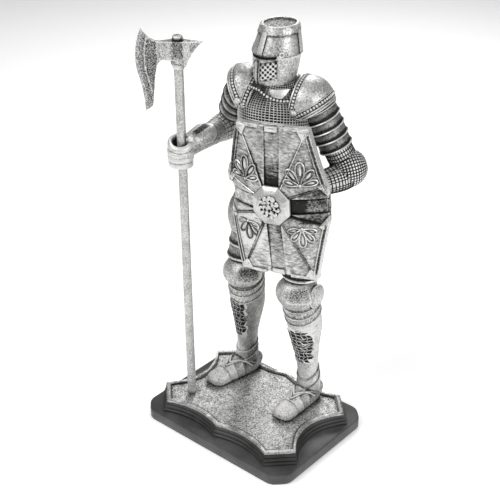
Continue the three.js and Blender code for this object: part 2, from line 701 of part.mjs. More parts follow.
// The octagon at the centre with a round button on it, seated in the bowed plate.
function makeBoss(face) {
  const octagon = bossWidth / 2 / Math.cos(Math.PI / 8);
  const front = face - bossRise;
  const back = shieldSideBow;
  const slope = [[bossRound, front], [octagon, face - panelRise * 0.8]];
  const rings = [[0, front], ...slope, [octagon, back], [0, back]];
  const points = rings.map(([radius, depth]) => new THREE.Vector2(radius, depth));
  const block = solid(new THREE.LatheGeometry(points, 8, Math.PI / 8));
  const button = new THREE.CylinderGeometry(bossRound - bossStep, bossRound, 2 * bossStep, 14);
  const middle = solid(button.rotateX(Math.PI).translate(0, front, 0));
  return block.add(middle).intersect(relief(shieldOutline(0), -shieldHeight, -reliefSeat));
}

// The space that the body leaves to the shield: everything before its back, less a gap.
function shieldSpace() {
  return placed(relief(shieldOutline(-fit), -shieldHeight, fit), shieldFrame);
}

const finish = (color, roughness, metalness) =>
  new THREE.MeshStandardMaterial({ color, roughness, metalness });

function named(name, body, material) {
  const geometry = body.isBufferGeometry ? body : geometryOf(body);
  const mesh = new THREE.Mesh(geometry, material);
  mesh.name = name;
  return mesh;
}

const antiqueSilver = () => finish(0xb9b9b6, 0.38, 0.9);
const satinBlack = () => finish(0x1c1c1d, 0.5, 0);

const statue = new THREE.Group();
statue.add(
  named("base_plate", makeBasePlate(), satinBlack()),
  named("plinth", makePlinth(), antiqueSilver()),
  named("knight_figure", makeFigure(), antiqueSilver()),
  named("shield", makeShield(), antiqueSilver()),
  named("axe_shaft", makeShaft(), finish(0xa9a9a6, 0.45, 0.8)),
  named("axe_head", makeAxeHead(), finish(0x8e8e8b, 0.5, 0.8)),
);

export default statue;
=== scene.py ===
import math

import bmesh
import bpy
import numpy as np
from mathutils import Matrix, Vector


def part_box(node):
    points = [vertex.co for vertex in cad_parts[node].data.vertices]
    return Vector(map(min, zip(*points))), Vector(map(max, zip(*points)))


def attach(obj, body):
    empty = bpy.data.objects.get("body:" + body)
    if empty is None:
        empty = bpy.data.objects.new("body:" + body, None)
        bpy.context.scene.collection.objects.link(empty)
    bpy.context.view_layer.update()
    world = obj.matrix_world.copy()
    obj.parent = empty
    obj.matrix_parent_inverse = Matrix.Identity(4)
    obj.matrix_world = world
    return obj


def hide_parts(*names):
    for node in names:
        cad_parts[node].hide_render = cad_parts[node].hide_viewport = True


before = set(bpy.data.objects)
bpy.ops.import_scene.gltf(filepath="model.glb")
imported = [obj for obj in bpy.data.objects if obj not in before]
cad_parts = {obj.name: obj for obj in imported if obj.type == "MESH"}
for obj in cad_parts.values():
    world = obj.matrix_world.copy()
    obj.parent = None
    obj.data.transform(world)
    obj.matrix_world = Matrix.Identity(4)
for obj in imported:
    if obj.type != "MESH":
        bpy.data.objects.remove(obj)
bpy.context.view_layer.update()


def rotation(degrees, axis="Z"):
    """A turn about one axis."""
    return Matrix.Rotation(math.radians(degrees), 4, axis)


def clamped(value):
    """The value itself, held between 0 and 1."""
    return min(1, max(0, value))


def angles(count):
    """Angles at even distances round a circle, from 0."""
    return [math.tau * k / count for k in range(count)]


# The figure is drawn in hundredths, with its soles at 0 and the highest place of its helm at HELM_TOP.
HELM_TOP = 99.3
figure_low, figure_high = (Vector(corner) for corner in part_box("knight_figure"))
SOLE = figure_low.z
UNIT = (figure_high.z - SOLE) / HELM_TOP
TORSO_TURN = 20
FIGURE = Matrix.Translation((0, 0, SOLE)) @ Matrix.Scale(UNIT, 4)
STANCE = Matrix.Translation((0.6, 9.05, 0)) @ rotation(TORSO_TURN)
TORSO = FIGURE @ STANCE

# The pole stands upright through the fist.
pole_low, pole_high = (Vector(corner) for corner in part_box("axe_shaft"))
POLE = (pole_low + pole_high) / 2

# The shield's own frame: its centre line, turned and rolled a little, in front of the body.
SHIELD_HEIGHT, SHIELD_TOP, SHIELD_FOOT = 0.1075, 0.0516, 0.0564
SHIELD_WAIST, SHIELD_WAIST_HEIGHT = 0.0714, 0.024
SHIELD_FACE, FLANK_FACE, PANEL_FACE = -0.0026, -0.0038, -0.0044
ARM_STRIP, BORDER, BOSS_WIDTH, BOSS_FACET = 0.0108, 0.0024, 0.0266, 0.0115
PALMETTE_HEIGHT, PALMETTE_X, PALMETTE_Z = 0.0158, 0.02, 0.0155
SHIELD_PLACE, SHIELD_TURN, SHIELD_ROLL = (7, -0.565, 59.36), 13, -3.6
SHIELD = (FIGURE @ Matrix.Translation(SHIELD_PLACE) @ Matrix.Scale(1 / UNIT, 4)
          @ rotation(SHIELD_TURN) @ rotation(SHIELD_ROLL, "Y"))
WAIST_BOW, END_FALL = 0.014, 0.0062


def bowed(x, z, depth):
    """A place on the shield, `depth` behind its centre and fallen back with the bow."""
    rise = abs(z / (SHIELD_HEIGHT / 2))
    bow = WAIST_BOW * max(0, 1 - 0.75 * rise) * (x / (SHIELD_WAIST / 2)) ** 2 + END_FALL * rise
    return Vector((x, bow + depth, z))


# Forms


def blank():
    """An empty form whose points can each hold how much darker they are, by dark wash or painted shade, or
    lighter where the value is below 0.
    """
    form = bmesh.new()
    form.verts.layers.float.new("shade")
    return form


def skin(rows, closed=False):
    """A form through rows of points: capped at both ends, or closed on itself like a hoop."""
    count = len(rows[0])
    form = blank()
    bmesh.ops.create_circle(form, radius=1, segments=count)
    first = edges = form.edges[:]
    for _ in rows[1:]:
        grown = bmesh.ops.extrude_edge_only(form, edges=edges)["geom"]
        edges = [part for part in grown if isinstance(part, bmesh.types.BMEdge) and part.is_boundary]
        lifted = [part for part in grown if isinstance(part, bmesh.types.BMVert)]
        bmesh.ops.translate(form, verts=lifted, vec=(0, 0, 1))
    if closed:
        bmesh.ops.bridge_loops(form, edges=first + edges)
    else:
        bmesh.ops.holes_fill(form, edges=first + edges, sides=0)
    for vert in form.verts:
        place = round(math.atan2(vert.co.y, vert.co.x) / math.tau * count) % count
        vert.co = rows[round(vert.co.z)][place]
    bmesh.ops.recalc_face_normals(form, faces=form.faces)
    return form


def ring(at, wide, deep, turn=0, power=2):
    """One ring of a loft: its centre, two half-widths, a turn about Z and how square it is."""
    return np.array([*at, wide, deep, turn, power], dtype=float)


def between(a, b, share, swell=0):
    """A ring between two others, wider than them by `swell`."""
    middle = a + (b - a) * share
    middle[3:5] += swell
    return middle


def eased(rings, steps):
    """The same rings with others between them, on one smooth curve through all."""
    out = []
    for i in range(len(rings) - 1):
        p = [rings[max(0, min(len(rings) - 1, i + k))] for k in (-1, 0, 1, 2)]
        for step in range(steps):
            t = step / steps
            out.append(p[1] + 0.5 * t * (p[2] - p[0] + t * (2 * p[0] - 5 * p[1] + 4 * p[2] - p[3]
                       + t * (3 * (p[1] - p[2]) + p[3] - p[0]))))
    return out + [rings[-1]]


# A lame's section from its tucked edge to its free edge: share of its length, share of its lip.
LAME = ((0, 0), (0.04, 0.1), (0.45, 0.35), (0.8, 0.5), (0.84, 0.95), (0.9, 1.15), (0.96, 1), (0.985, 0.1))


def lames(a, b, count, lip):
    """Overlapping plates from one ring to another. The free edge is at the far end, or, where the
    lip is below 0, at the near one."""
    section = LAME if lip > 0 else [(1 - share, height - 1) for share, height in reversed(LAME)]
    return [between(a, b, (i + share) / count, abs(lip) * height)
            for i in range(count) for share, height in section]


def squared(angle, power):
    """The sine and the cosine of an angle, for a ring that is more square the higher its power."""
    return [math.copysign(abs(v) ** (2 / power), v) for v in (math.sin(angle), math.cos(angle))]


def loft(rings, sides=48, level=True, across=(1, 0, 0)):
    """A closed form through rings, which lie flat or, where level is off, square to their way."""
    places = [Vector(r[:3]) for r in rings]
    rows = []
    for i, (x, y, z, wide, deep, turn, power) in enumerate(rings):
        ahead, behind = places[min(i + 1, len(places) - 1)], places[max(i - 1, 0)]
        way = Vector((0, 0, -1)) if level else (behind - ahead).normalized()
        side = Matrix.Rotation(math.radians(turn), 3, "Z") @ Vector(across)
        side = (side - way * side.dot(way)).normalized()
        front = way.cross(side)
        row = []
        for angle in angles(sides):
            s, c = squared(angle, power)
            row.append(places[i] + side * wide * s + front * deep * c)
        rows.append(row)
    return skin(rows)


def tube(path, radius, sides=8, closed=False):
    """A round bar along a path."""
    points = [Vector(p) for p in path]
    count = len(points)
    rows = []
    side = None
    for i, point in enumerate(points):
        ahead = points[(i + 1) % count] if closed else points[min(i + 1, count - 1)]
        behind = points[i - 1] if closed or i else points[0]
        way = (ahead - behind).normalized()
        if side is None:
            side = way.orthogonal()
        side = (side - way * side.dot(way)).normalized()
        up = way.cross(side)
        rows.append([point + (side * math.cos(a) + up * math.sin(a)) * radius for a in angles(sides)])
    return skin(rows, closed)


def ball(centre, radii, lean=0, tip=0, around=40, rows=24):
    """An ellipsoid, leaned about X and then tipped about Y by so many degrees."""
    form = blank()
    bmesh.ops.create_uvsphere(form, u_segments=around, v_segments=rows, radius=1)
    form.transform(Matrix.Translation(centre) @ rotation(tip, "Y") @ rotation(lean, "X")
                   @ Matrix.Diagonal((*radii, 1)))
    return form


def studs(points, radius):
    """Small round beads, one on each point."""
    form = blank()
    for point in points:
        bmesh.ops.create_uvsphere(form, u_segments=8, v_segments=6, radius=radius,
                                  matrix=Matrix.Translation(point))
    return form


def spun(profile, steps=96):
    """A profile of (radius, height) turned about the Z axis."""
    form = blank()
    verts = [form.verts.new((radius, 0, height)) for radius, height in profile]
    edges = [form.edges.new(pair) for pair in zip(verts, verts[1:])]
    bmesh.ops.spin(form, geom=verts + edges, axis=(0, 0, 1), cent=(0, 0, 0), angle=math.tau,
                   steps=steps, use_merge=True)
    bmesh.ops.remove_doubles(form, verts=form.verts, dist=1e-5)
    bmesh.ops.recalc_face_normals(form, faces=form.faces)
    return form


def cut(form, point, normal, clear=False):
    """Cuts a form by a plane and gives what lies on the cut; `clear` removes what is beyond it."""
    geom = form.verts[:] + form.edges[:] + form.faces[:]
    return bmesh.ops.bisect_plane(form, geom=geom, plane_co=point, plane_no=normal,
                                  clear_outer=clear)["geom_cut"]


def sliced(form, axis, places):
    """Cuts a form square to an axis at each of some places, so that it can be bent."""
    way = Vector((0, 0, 0))
    way[axis] = 1
    for place in places:
        cut(form, way * place, way)


def prism(points, front, back):
    """A flat plate of the outline given by its (x, z) points, from one depth to another."""
    form = blank()
    face = form.faces.new([form.verts.new((x, front, z)) for x, z in points])
    grown = bmesh.ops.extrude_face_region(form, geom=[face])["geom"]
    lifted = [part for part in grown if isinstance(part, bmesh.types.BMVert)]
    bmesh.ops.translate(form, verts=lifted, vec=(0, back - front, 0))
    return form


def curve(a, pull, b, steps, last=0):
    """Points from `a` towards `b` on a bend that is pulled towards a third; `last` adds the end."""
    a, pull, b = Vector(a), Vector(pull), Vector(b)
    return [a.lerp(pull, t / steps).lerp(pull.lerp(b, t / steps), t / steps) for t in range(steps + last)]


def in_order(edges):
    """The points of a chain of edges, one after the other."""
    left = set(edges)
    ends = [e for e in edges if any(sum(o in left for o in v.link_edges) == 1 for v in e.verts)]
    edge = ends[0] if ends else edges[0]
    vert = edge.verts[0]
    if ends and sum(o in left for o in vert.link_edges) != 1:
        vert = edge.verts[1]
    out = [vert.co.copy()]
    while edge:
        left.discard(edge)
        vert = edge.other_vert(vert)
        out.append(vert.co.copy())
        edge = next((o for o in vert.link_edges if o in left), None)
    return out


def spaced(path, gap):
    """Points at even distances along a path."""
    out, carried = [], 0.0
    for a, b in zip(path, path[1:]):
        length = (b - a).length
        while carried <= length and length > 0:
            out.append(a.lerp(b, carried / length))
            carried += gap
        carried -= length
    return out


def merged(*forms):
    """One form of several, which are used up."""
    whole = blank()
    for form in forms:
        mesh = bpy.data.meshes.new("part")
        form.to_mesh(mesh)
        form.free()
        whole.from_mesh(mesh)
        bpy.data.meshes.remove(mesh)
    return whole


def moved(form, matrix):
    """A form set in place, with its faces turned back if the matrix mirrors it."""
    form.transform(matrix)
    if matrix.determinant() < 0:
        bmesh.ops.reverse_faces(form, faces=form.faces)
    return form


def darken(form, amount, verts=None):
    """Darkens a form or some of its points by wash or painted shade, or lightens them where the amount is
    below 0.
    """
    layer = form.verts.layers.float["shade"]
    for vert in form.verts if verts is None else verts:
        vert[layer] = amount
    return form


def mail(form, wall, depth, least, hollow):
    """Sinks or raises the middle of each face with four sides and an area of at least `least`, which
    makes the form a net or a field of studs. The wash lies by `hollow` thicker in the places that are
    sunk, or between the studs."""
    form.normal_update()
    faces = [face for face in form.faces if len(face.verts) == 4 and face.calc_area() > least]
    ground = form.verts[:] if depth > 0 else []
    bmesh.ops.inset_individual(form, faces=faces, thickness=wall, depth=depth, use_even_offset=True)
    return darken(form, hollow, ground or {vert for face in faces for vert in face.verts})


def mark_relief(mesh):
    """Stores on each point how far it stands out of its neighbours, for the bright wear on edges."""
    count = len(mesh.vertices)
    places = np.empty(count * 3, np.float32)
    mesh.vertices.foreach_get("co", places)
    normals = np.empty(count * 3, np.float32)
    mesh.vertex_normals.foreach_get("vector", normals)
    ends = np.empty(len(mesh.edges) * 2, np.int32)
    mesh.edges.foreach_get("vertices", ends)
    places, normals, (a, b) = places.reshape(-1, 3), normals.reshape(-1, 3), ends.reshape(-1, 2).T
    way = places[b] - places[a]
    way /= np.maximum(np.linalg.norm(way, axis=1, keepdims=True), 1e-9)
    ties = np.maximum(np.bincount(a, minlength=count) + np.bincount(b, minlength=count), 1)
    lean_a, lean_b = ((way * normals[end]).sum(1) for end in (a, b))
    relief = (np.bincount(b, lean_b, count) - np.bincount(a, lean_a, count)) / ties
    nearby = (np.bincount(a, relief[b], count) + np.bincount(b, relief[a], count)) / ties
    layer = mesh.attributes.new("relief", "FLOAT", "POINT")
    layer.data.foreach_set("value", (0.7 * relief + 0.3 * nearby).astype(np.float32))


CREASE = math.radians(38)


def piece(name, form, place, material, slot, *nodes, shade=None):
    """A finished piece: its form set in place, its material on and its solids hidden. `shade` gives
    how much darker a point of the form is, by wash or painted shade, or lighter where below 0."""
    if shade:
        layer = form.verts.layers.float["shade"]
        for vert in form.verts:
            vert[layer] += shade(vert.co)
    form.transform(place)
    mesh = bpy.data.meshes.new(name)
    form.to_mesh(mesh)
    form.free()
    mesh.shade_smooth()
    mesh.set_sharp_from_angle(angle=CREASE)
    mark_relief(mesh)
    mesh.materials.append(material)
    made = bpy.data.objects.new(name, mesh)
    bpy.context.collection.objects.link(made)
    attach(made, "root")
    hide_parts(*nodes)
    return made


# Finishes


def feed(tree, node, **inputs):
    """Gives a node its inputs, each a value or a socket to link. They are named with _ for a space,
    or numbered."""
    for key, value in inputs.items():
        socket = node.inputs[int(key[1:])] if key[1:].isdigit() else node.inputs[key.replace("_", " ")]
        if isinstance(value, bpy.types.NodeSocket):
            tree.links.new(value, socket)
        else:
            socket.default_value = value
    return node


def add(tree, kind, settings=(), **inputs):
    """A new node with its settings and its inputs."""
    node = tree.nodes.new("ShaderNode" + kind)
    for key, value in dict(settings).items():
        setattr(node, key, value)
    return feed(tree, node, **inputs)


def maths(tree, operation, a, b=0.0, c=0.0):
    """The result of one sum in the shader."""
    return add(tree, "Math", {"operation": operation}, _0=a, _1=b, _2=c).outputs[0]


def fade(tree, value, low, high):
    """0 below `low`, 1 above `high` and a soft step between."""
    smooth = {"interpolation_type": "SMOOTHSTEP"}
    return add(tree, "MapRange", smooth, Value=value, From_Min=low, From_Max=high).outputs[0]


def mixed(tree, share, a, b):
    """One colour mixed with another."""
    return add(tree, "Mix", {"data_type": "RGBA"}, Factor=share, _6=a, _7=b).outputs[2]


def grey(value):
    """A grey that is very slightly warm."""
    return (value, value * 0.995, value * 0.98, 1)


def finish(name):
    """A new material, its tree of nodes and its shader."""
    material = bpy.data.materials.new(name)
    material.use_nodes = True
    return material, material.node_tree, material.node_tree.nodes["Principled BSDF"]


def group(name, inputs, outputs):
    """An empty shader group with its sockets, and the nodes at its two ends."""
    tree = bpy.data.node_groups.new(name, "ShaderNodeTree")
    for label, kind, value in inputs:
        socket = tree.interface.new_socket(label, in_out="INPUT", socket_type="NodeSocket" + kind)
        socket.default_value = value
    for label, kind in outputs:
        tree.interface.new_socket(label, in_out="OUTPUT", socket_type="NodeSocket" + kind)
    return tree, tree.nodes.new("NodeGroupInput").outputs, tree.nodes.new("NodeGroupOutput").inputs


def antique_group():
    """Bright metal on what stands out, a dark wash in what lies back, and the grain of the cast. The wash
    comes from ambient occlusion, so it is also painted shade where parts meet, and each point can add
    painted shade or painted highlight.
    """
    tree, given, out = group(
        "antique metal",
        [("Bright", "Color", grey(0.78)), ("Middle", "Color", grey(0.33)), ("Dark", "Color", grey(0.02)),
         ("Tone", "Float", 0.55), ("Wear", "Float", 1.6), ("Wash", "Float", 1.0), ("Reach", "Float", 0.003),
         ("Speckle", "Float", 0.8), ("Blotch", "Float", 0.3), ("Grain", "Float", 900.0),
         ("Lie", "Vector", (0, 0, 0)), ("Stretch", "Vector", (1, 1, 1))],
        [("Color", "Color"), ("Brightness", "Float"), ("Height", "Float")],
    )
    place = add(tree, "TexCoord").outputs["Object"]
    lie = add(tree, "Mapping", Vector=place, Rotation=given["Lie"], Scale=given["Stretch"]).outputs[0]
    speckle = add(tree, "TexNoise", Vector=lie, Scale=given["Grain"], Detail=3.0, Roughness=0.7).outputs[0]
    blotch = add(tree, "TexNoise", Vector=place, Scale=130.0, Detail=4.0, Roughness=0.65).outputs[0]
    relief = add(tree, "Attribute", {"attribute_name": "relief"}).outputs["Fac"]
    shade = add(tree, "Attribute", {"attribute_name": "shade"}).outputs["Fac"]
    # Ambient occlusion darkens the colour where other surfaces lie near: the dark wash of the hollows, and
    # also painted shade between parts and round the feet.
    hollow = add(tree, "AmbientOcclusion", {"samples": 6}, Distance=given["Reach"]).outputs["AO"]
    tone = maths(tree, "MULTIPLY_ADD", relief, given["Wear"], given["Tone"])
    wash = maths(tree, "MULTIPLY", maths(tree, "SUBTRACT", 1.0, hollow), given["Wash"])
    tone = maths(tree, "SUBTRACT", tone, wash)
    # Each point's own value: more dark wash or painted shade, or, below 0, worn metal or painted highlight.
    tone = maths(tree, "SUBTRACT", tone, shade)
    for field, amount in ((speckle, given["Speckle"]), (blotch, given["Blotch"])):
        centred = maths(tree, "MULTIPLY", maths(tree, "SUBTRACT", field, 0.5), 2.5)
        tone = maths(tree, "MULTIPLY_ADD", centred, amount, tone)
    lower = mixed(tree, fade(tree, tone, 0.0, 0.5), given["Dark"], given["Middle"])
    tree.links.new(mixed(tree, fade(tree, tone, 0.4, 1.0), lower, given["Bright"]), out["Color"])
    tree.links.new(fade(tree, tone, 0.1, 0.9), out["Brightness"])
    tree.links.new(speckle, out["Height"])
    return tree


ANTIQUE = antique_group()


def antique(name, rough=(0.6, 0.42), bump=0.2, metal=0.65, **values):
    """A cast metal finish from the shared group; `rough` is the roughness of dark and bright places."""
    material, tree, shader = finish(name)
    wash = add(tree, "Group", {"node_tree": ANTIQUE}, **values)
    spread = add(tree, "MapRange", Value=wash.outputs["Brightness"], To_Min=rough[0], To_Max=rough[1])
    grain = add(tree, "Bump", Height=wash.outputs["Height"], Strength=bump, Distance=0.0004)
    feed(tree, shader, Base_Color=wash.outputs["Color"], Roughness=spread.outputs[0], Metallic=metal,
         Normal=grain.outputs[0])
    return material


polished = antique("polished silver", rough=(0.65, 0.48), metal=0.55, Tone=0.66, Speckle=0.8)
helm_metal = antique("helm silver", metal=0.6, Tone=0.7, Speckle=0.85, Wash=1.1)
mail_metal = antique("mail", Tone=1.05, Wear=2.0, Wash=0.2, Speckle=0.4, Reach=0.0015)
arm_mail_metal = antique("arm mail", rough=(0.65, 0.5), metal=0.45, Tone=0.66, Wear=2.4, Wash=0.7,
                         Speckle=0.5, Reach=0.0012)
stippled = antique("stippled silver", rough=(0.65, 0.5), bump=0.3, metal=0.55, Tone=0.4, Speckle=1.3,
                   Blotch=0.2, Grain=1250.0)
lame_metal = antique("dark lames", Tone=0.3, Wear=3.5, Wash=0.9, Speckle=0.55)
shoe_metal = antique("shoe silver", rough=(0.7, 0.6), metal=0.4, Tone=0.85, Speckle=0.7, Wash=1.2)
greave_metal = antique("greave silver", rough=(0.55, 0.42), bump=0.15, Tone=0.68, Speckle=0.5, Wash=0.9,
                       Reach=0.0018)


# Base plate and plinth

SLAB_CORNER, SLAB_BEND, SLAB_EDGE = 0.0093, 0.004, 0.0011


def rounded_outline(half_x, half_y, corner, radius):
    """The slab's plan: a rectangle with clipped corners, each bend rounded, 8 points a bend."""
    bends = [(-half_x + corner, -half_y), (half_x - corner, -half_y), (half_x, -half_y + corner),
             (half_x, half_y - corner)]
    bends += [(-x, -y) for x, y in bends]
    out = []
    for i, bend in enumerate(bends):
        here, last, following = Vector(bend), Vector(bends[i - 1]), Vector(bends[(i + 1) % 8])
        a, b = here + (last - here).normalized() * radius, here + (following - here).normalized() * radius
        out += curve(a, here, b, 7, last=1)
    return out


def base_plate():
    """The slab with its softened upper and lower edges."""
    edge, high = SLAB_EDGE, Vector(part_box("base_plate")[1])
    rows = []
    for inset, z in ((edge, 0), (edge * 0.3, edge * 0.3), (0, edge), (0, high.z - edge),
                     (edge * 0.3, high.z - edge * 0.3), (edge, high.z)):
        plan = rounded_outline(high.x - inset, high.y - inset, SLAB_CORNER - inset * 0.6, SLAB_BEND)
        rows.append([Vector((*p, z)) for p in plan])
    return skin(rows)


PLINTH_LENGTH, PLINTH_WIDTH = 0.125, 0.0886
PLINTH_CORNER = (0.013, 0.016)
LONG_BITE, LONG_CUSP, SHORT_BITE = 0.0054, 0.0029, 0.0118


def plinth_plan(grow):
    """The scalloped outline, moved outwards by `grow`: 24 points a bite, and the ends of the chamfers."""
    end_x = PLINTH_LENGTH / 2 - PLINTH_CORNER[0] + grow * 0.6
    side_x = PLINTH_LENGTH / 2 + grow
    end_y = PLINTH_WIDTH / 2 + grow
    side_y = PLINTH_WIDTH / 2 - PLINTH_CORNER[1] + grow * 0.4
    cusp = end_y - LONG_CUSP
    bites = [((-end_x, -end_y), (0, -cusp), LONG_BITE), ((0, -cusp), (end_x, -end_y), LONG_BITE),
             ((side_x, -side_y), (side_x, side_y), SHORT_BITE), ((end_x, end_y), (0, cusp), LONG_BITE),
             ((0, cusp), (-end_x, end_y), LONG_BITE), ((-side_x, side_y), (-side_x, -side_y), SHORT_BITE)]
    out = []
    for start, end, depth in bites:
        a, b = Vector(start), Vector(end)
        inward = Vector((a.y - b.y, b.x - a.x)).normalized()
        pull = (a + b) / 2 + inward * 2 * depth
        out += curve(a, pull, b, 24, last=1)
    return out


def moulding(section, closed=False):
    """The plinth's outline carried along a section of (grow, height) points."""
    return skin([[Vector((*p, z)) for p in plinth_plan(grow)] for grow, z in section], closed)


plinth_low, plinth_high = (Vector(corner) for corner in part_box("plinth"))
RIM_TOP, RIM_WIDTH = plinth_high.z, 0.0025
STEP = (plinth_high.z - plinth_low.z) / 100
FLOOR = SOLE - 0.0003


def plinth_sides():
    """Four stepped bands with rounded noses, wider towards the slab."""
    section = []
    for grow, low, high in ((0.003, 0, 24), (0.00186, 24, 50), (0.0009, 50, 76), (0.0, 76, 92)):
        section += [(grow - 0.0005, low), (grow, low + 4), (grow, high - 7), (grow - 0.0003, high - 3),
                    (grow - 0.0009, high - 0.5)]
    section += [(-0.0035, 91.5), (-0.0035, 60)]
    return moulding([(grow, plinth_low.z + share * STEP) for grow, share in section])


def plinth_floor():
    """The sunk floor inside the rim."""
    return moulding([(-0.0012, FLOOR - 0.0015), (-0.0012, FLOOR), (-0.0035, FLOOR + 0.00002)])


def plinth_rim():
    """The raised rim round the floor, with a lip over the black mouldings."""
    section = [(-RIM_WIDTH + 0.0002, FLOOR - 0.001), (0.0001, FLOOR - 0.001), (0.0001, RIM_TOP - 0.0013),
               (0.0004, RIM_TOP - 0.0011), (0.0005, RIM_TOP - 0.0006), (0.0001, RIM_TOP),
               (-RIM_WIDTH + 0.0005, RIM_TOP), (-RIM_WIDTH, RIM_TOP - 0.0005),
               (-RIM_WIDTH - 0.0002, FLOOR - 0.0001)]
    return moulding(section, closed=True)


def satin(name, low, high):
    """A dark lacquer between two greys, a little cloudy and finely uneven."""
    material, tree, shader = finish(name)
    place = add(tree, "TexCoord").outputs["Object"]
    cloud = add(tree, "TexNoise", Vector=place, Scale=60.0, Detail=4.0).outputs[0]
    fine = add(tree, "TexNoise", Vector=place, Scale=1500.0, Detail=2.0).outputs[0]
    colour = mixed(tree, fade(tree, cloud, 0.3, 0.75), grey(low), grey(high))
    rough = add(tree, "MapRange", Value=cloud, To_Min=0.35, To_Max=0.5).outputs[0]
    bump = add(tree, "Bump", Height=fine, Strength=0.08, Distance=0.0002).outputs[0]
    feed(tree, shader, Base_Color=colour, Roughness=rough, Normal=bump)
    return material


satin_black = satin("satin black", 0.022, 0.06)
slab_black = satin("slab black", 0.05, 0.1)
# The plinth's floor takes the wash by ambient occlusion, which paints shade on it round the feet.
floor_metal = antique("plinth silver", rough=(0.65, 0.5), bump=0.4, metal=0.5, Tone=0.58, Wash=0.55,
                      Speckle=1.25, Blotch=0.25, Grain=1150.0, Reach=0.004)
rim_metal = antique("rim silver", rough=(0.6, 0.45), bump=0.3, metal=0.5, Tone=0.78, Wash=0.7, Speckle=0.7,
                    Reach=0.002)

piece("base_plate_slab", base_plate(), Matrix(), slab_black, "satin_black", "base_plate")
piece("plinth_mouldings", plinth_sides(), Matrix(), satin_black, "satin_black", "plinth")
piece("plinth_floor", plinth_floor(), Matrix(), floor_metal, "plinth_silver", "plinth")
piece("plinth_rim", plinth_rim(), Matrix(), rim_metal, "plinth_silver", "plinth")

# Plates with small holes or studs


def pierced(surface, columns, rows, wall=0.1, depth=-0.2, thick=0.5, every=lambda i, j: True, hollow=1.0):
    """A plate on a surface given as a function of (across, up, sunk), each 0 to 1 but the last.
    The middles of its chosen faces are sunk into holes, dark by `hollow`."""
    form = blank()
    bmesh.ops.create_grid(form, x_segments=columns, y_segments=rows, size=1)
    chosen = []
    for face in form.faces:
        middle = face.calc_center_median()
        if every(int((middle.x + 1) / 2 * columns), int((middle.y + 1) / 2 * rows)):
            chosen.append(face)
    bmesh.ops.solidify(form, geom=form.faces[:], thickness=thick)
    for vert in form.verts:
        vert.co = surface((vert.co.x + 1) / 2, (vert.co.y + 1) / 2, abs(vert.co.z))
    bmesh.ops.recalc_face_normals(form, faces=form.faces)
    bmesh.ops.inset_individual(form, faces=chosen, thickness=wall, depth=depth, use_even_offset=True)
    return darken(form, hollow, {vert for face in chosen for vert in face.verts})


def uneven(surface, columns, rows, amount, seed):
    """The same surface with its rows and columns thrown off their places, more or less."""
    throw = np.random.default_rng(seed).uniform(-amount, amount, (columns + 1, rows + 1, 2))

    def thrown(u, v, sunk):
        i, j = round(u * columns), round(v * rows)
        inside = 0 < i < columns and 0 < j < rows
        du, dv = throw[i, j] if inside else (0, 0)
        brick = (0.25 if j % 2 else -0.25) / columns if inside else 0
        return surface(u + du / columns + brick, v + dv / rows, sunk)

    return thrown


def plain_plate(surface, columns, rows, thick=0.5):
    """A plate on such a surface, without holes."""
    return pierced(surface, columns, rows, thick=thick, every=lambda i, j: False)


# Helm

# The helm stands turned on the shoulders, and its profile is given as (height, radius).
HELM_PLACE, HELM_TURN = (0.3, 8.7, 0), -12
HELM = FIGURE @ Matrix.Translation(HELM_PLACE) @ rotation(HELM_TURN)
BUCKET = ((85.2, 3.9), (86, 4.6), (88.2, 5.1), (91.6, 5.5), (92.3, 5.62), (92.6, 5.75), (94, 5.5),
          (97.15, 4.7), (99, 4.2))
HELM_SIDES = 120
SLIT, SLIT_REACH = 92.05, 50
BAND_FOOT = 92.7
FACE_REACH, CHEEK, CHEEK_WIDTH = 42, 9, 43
CROWN_SLOPE, CROWN_HOLE = 0.05, 3.75


def azimuth_of(place):
    """In degrees, from the front towards the knight's left."""
    return math.degrees(math.atan2(place.x, -place.y))


def helm_point(azimuth, height, grow=0.0):
    """A place on the helm. The azimuth runs from its front towards the knight's left."""
    radius = float(np.interp(height, *zip(*BUCKET))) + grow
    facing = max(0.0, 1 - abs((azimuth + 180) % 360 - 180) / FACE_REACH)
    radius += 0.7 * clamped((SLIT - height) / 3) * facing
    x, y = radius * math.sin(math.radians(azimuth)), -radius * math.cos(math.radians(azimuth))
    rise = 0.24 * y * clamped((91.6 - height) / 3.4) + CROWN_SLOPE * y * clamped((height - 93.9) / 3.2)
    rise += 0.5 * (azimuth / 50) ** 2 * max(0, 1 - abs(height - SLIT) / 1.5) if abs(azimuth) < 60 else 0
    return Vector((x, y + 0.13 * max(0, height - SLIT), height + rise))


def on_helm(low, high, bottom, top, grow=0.3):
    """A part of the helm's wall, between two azimuths and two heights."""
    return lambda u, v, sunk: helm_point(low + (high - low) * u, bottom + (top - bottom) * v, grow - sunk)


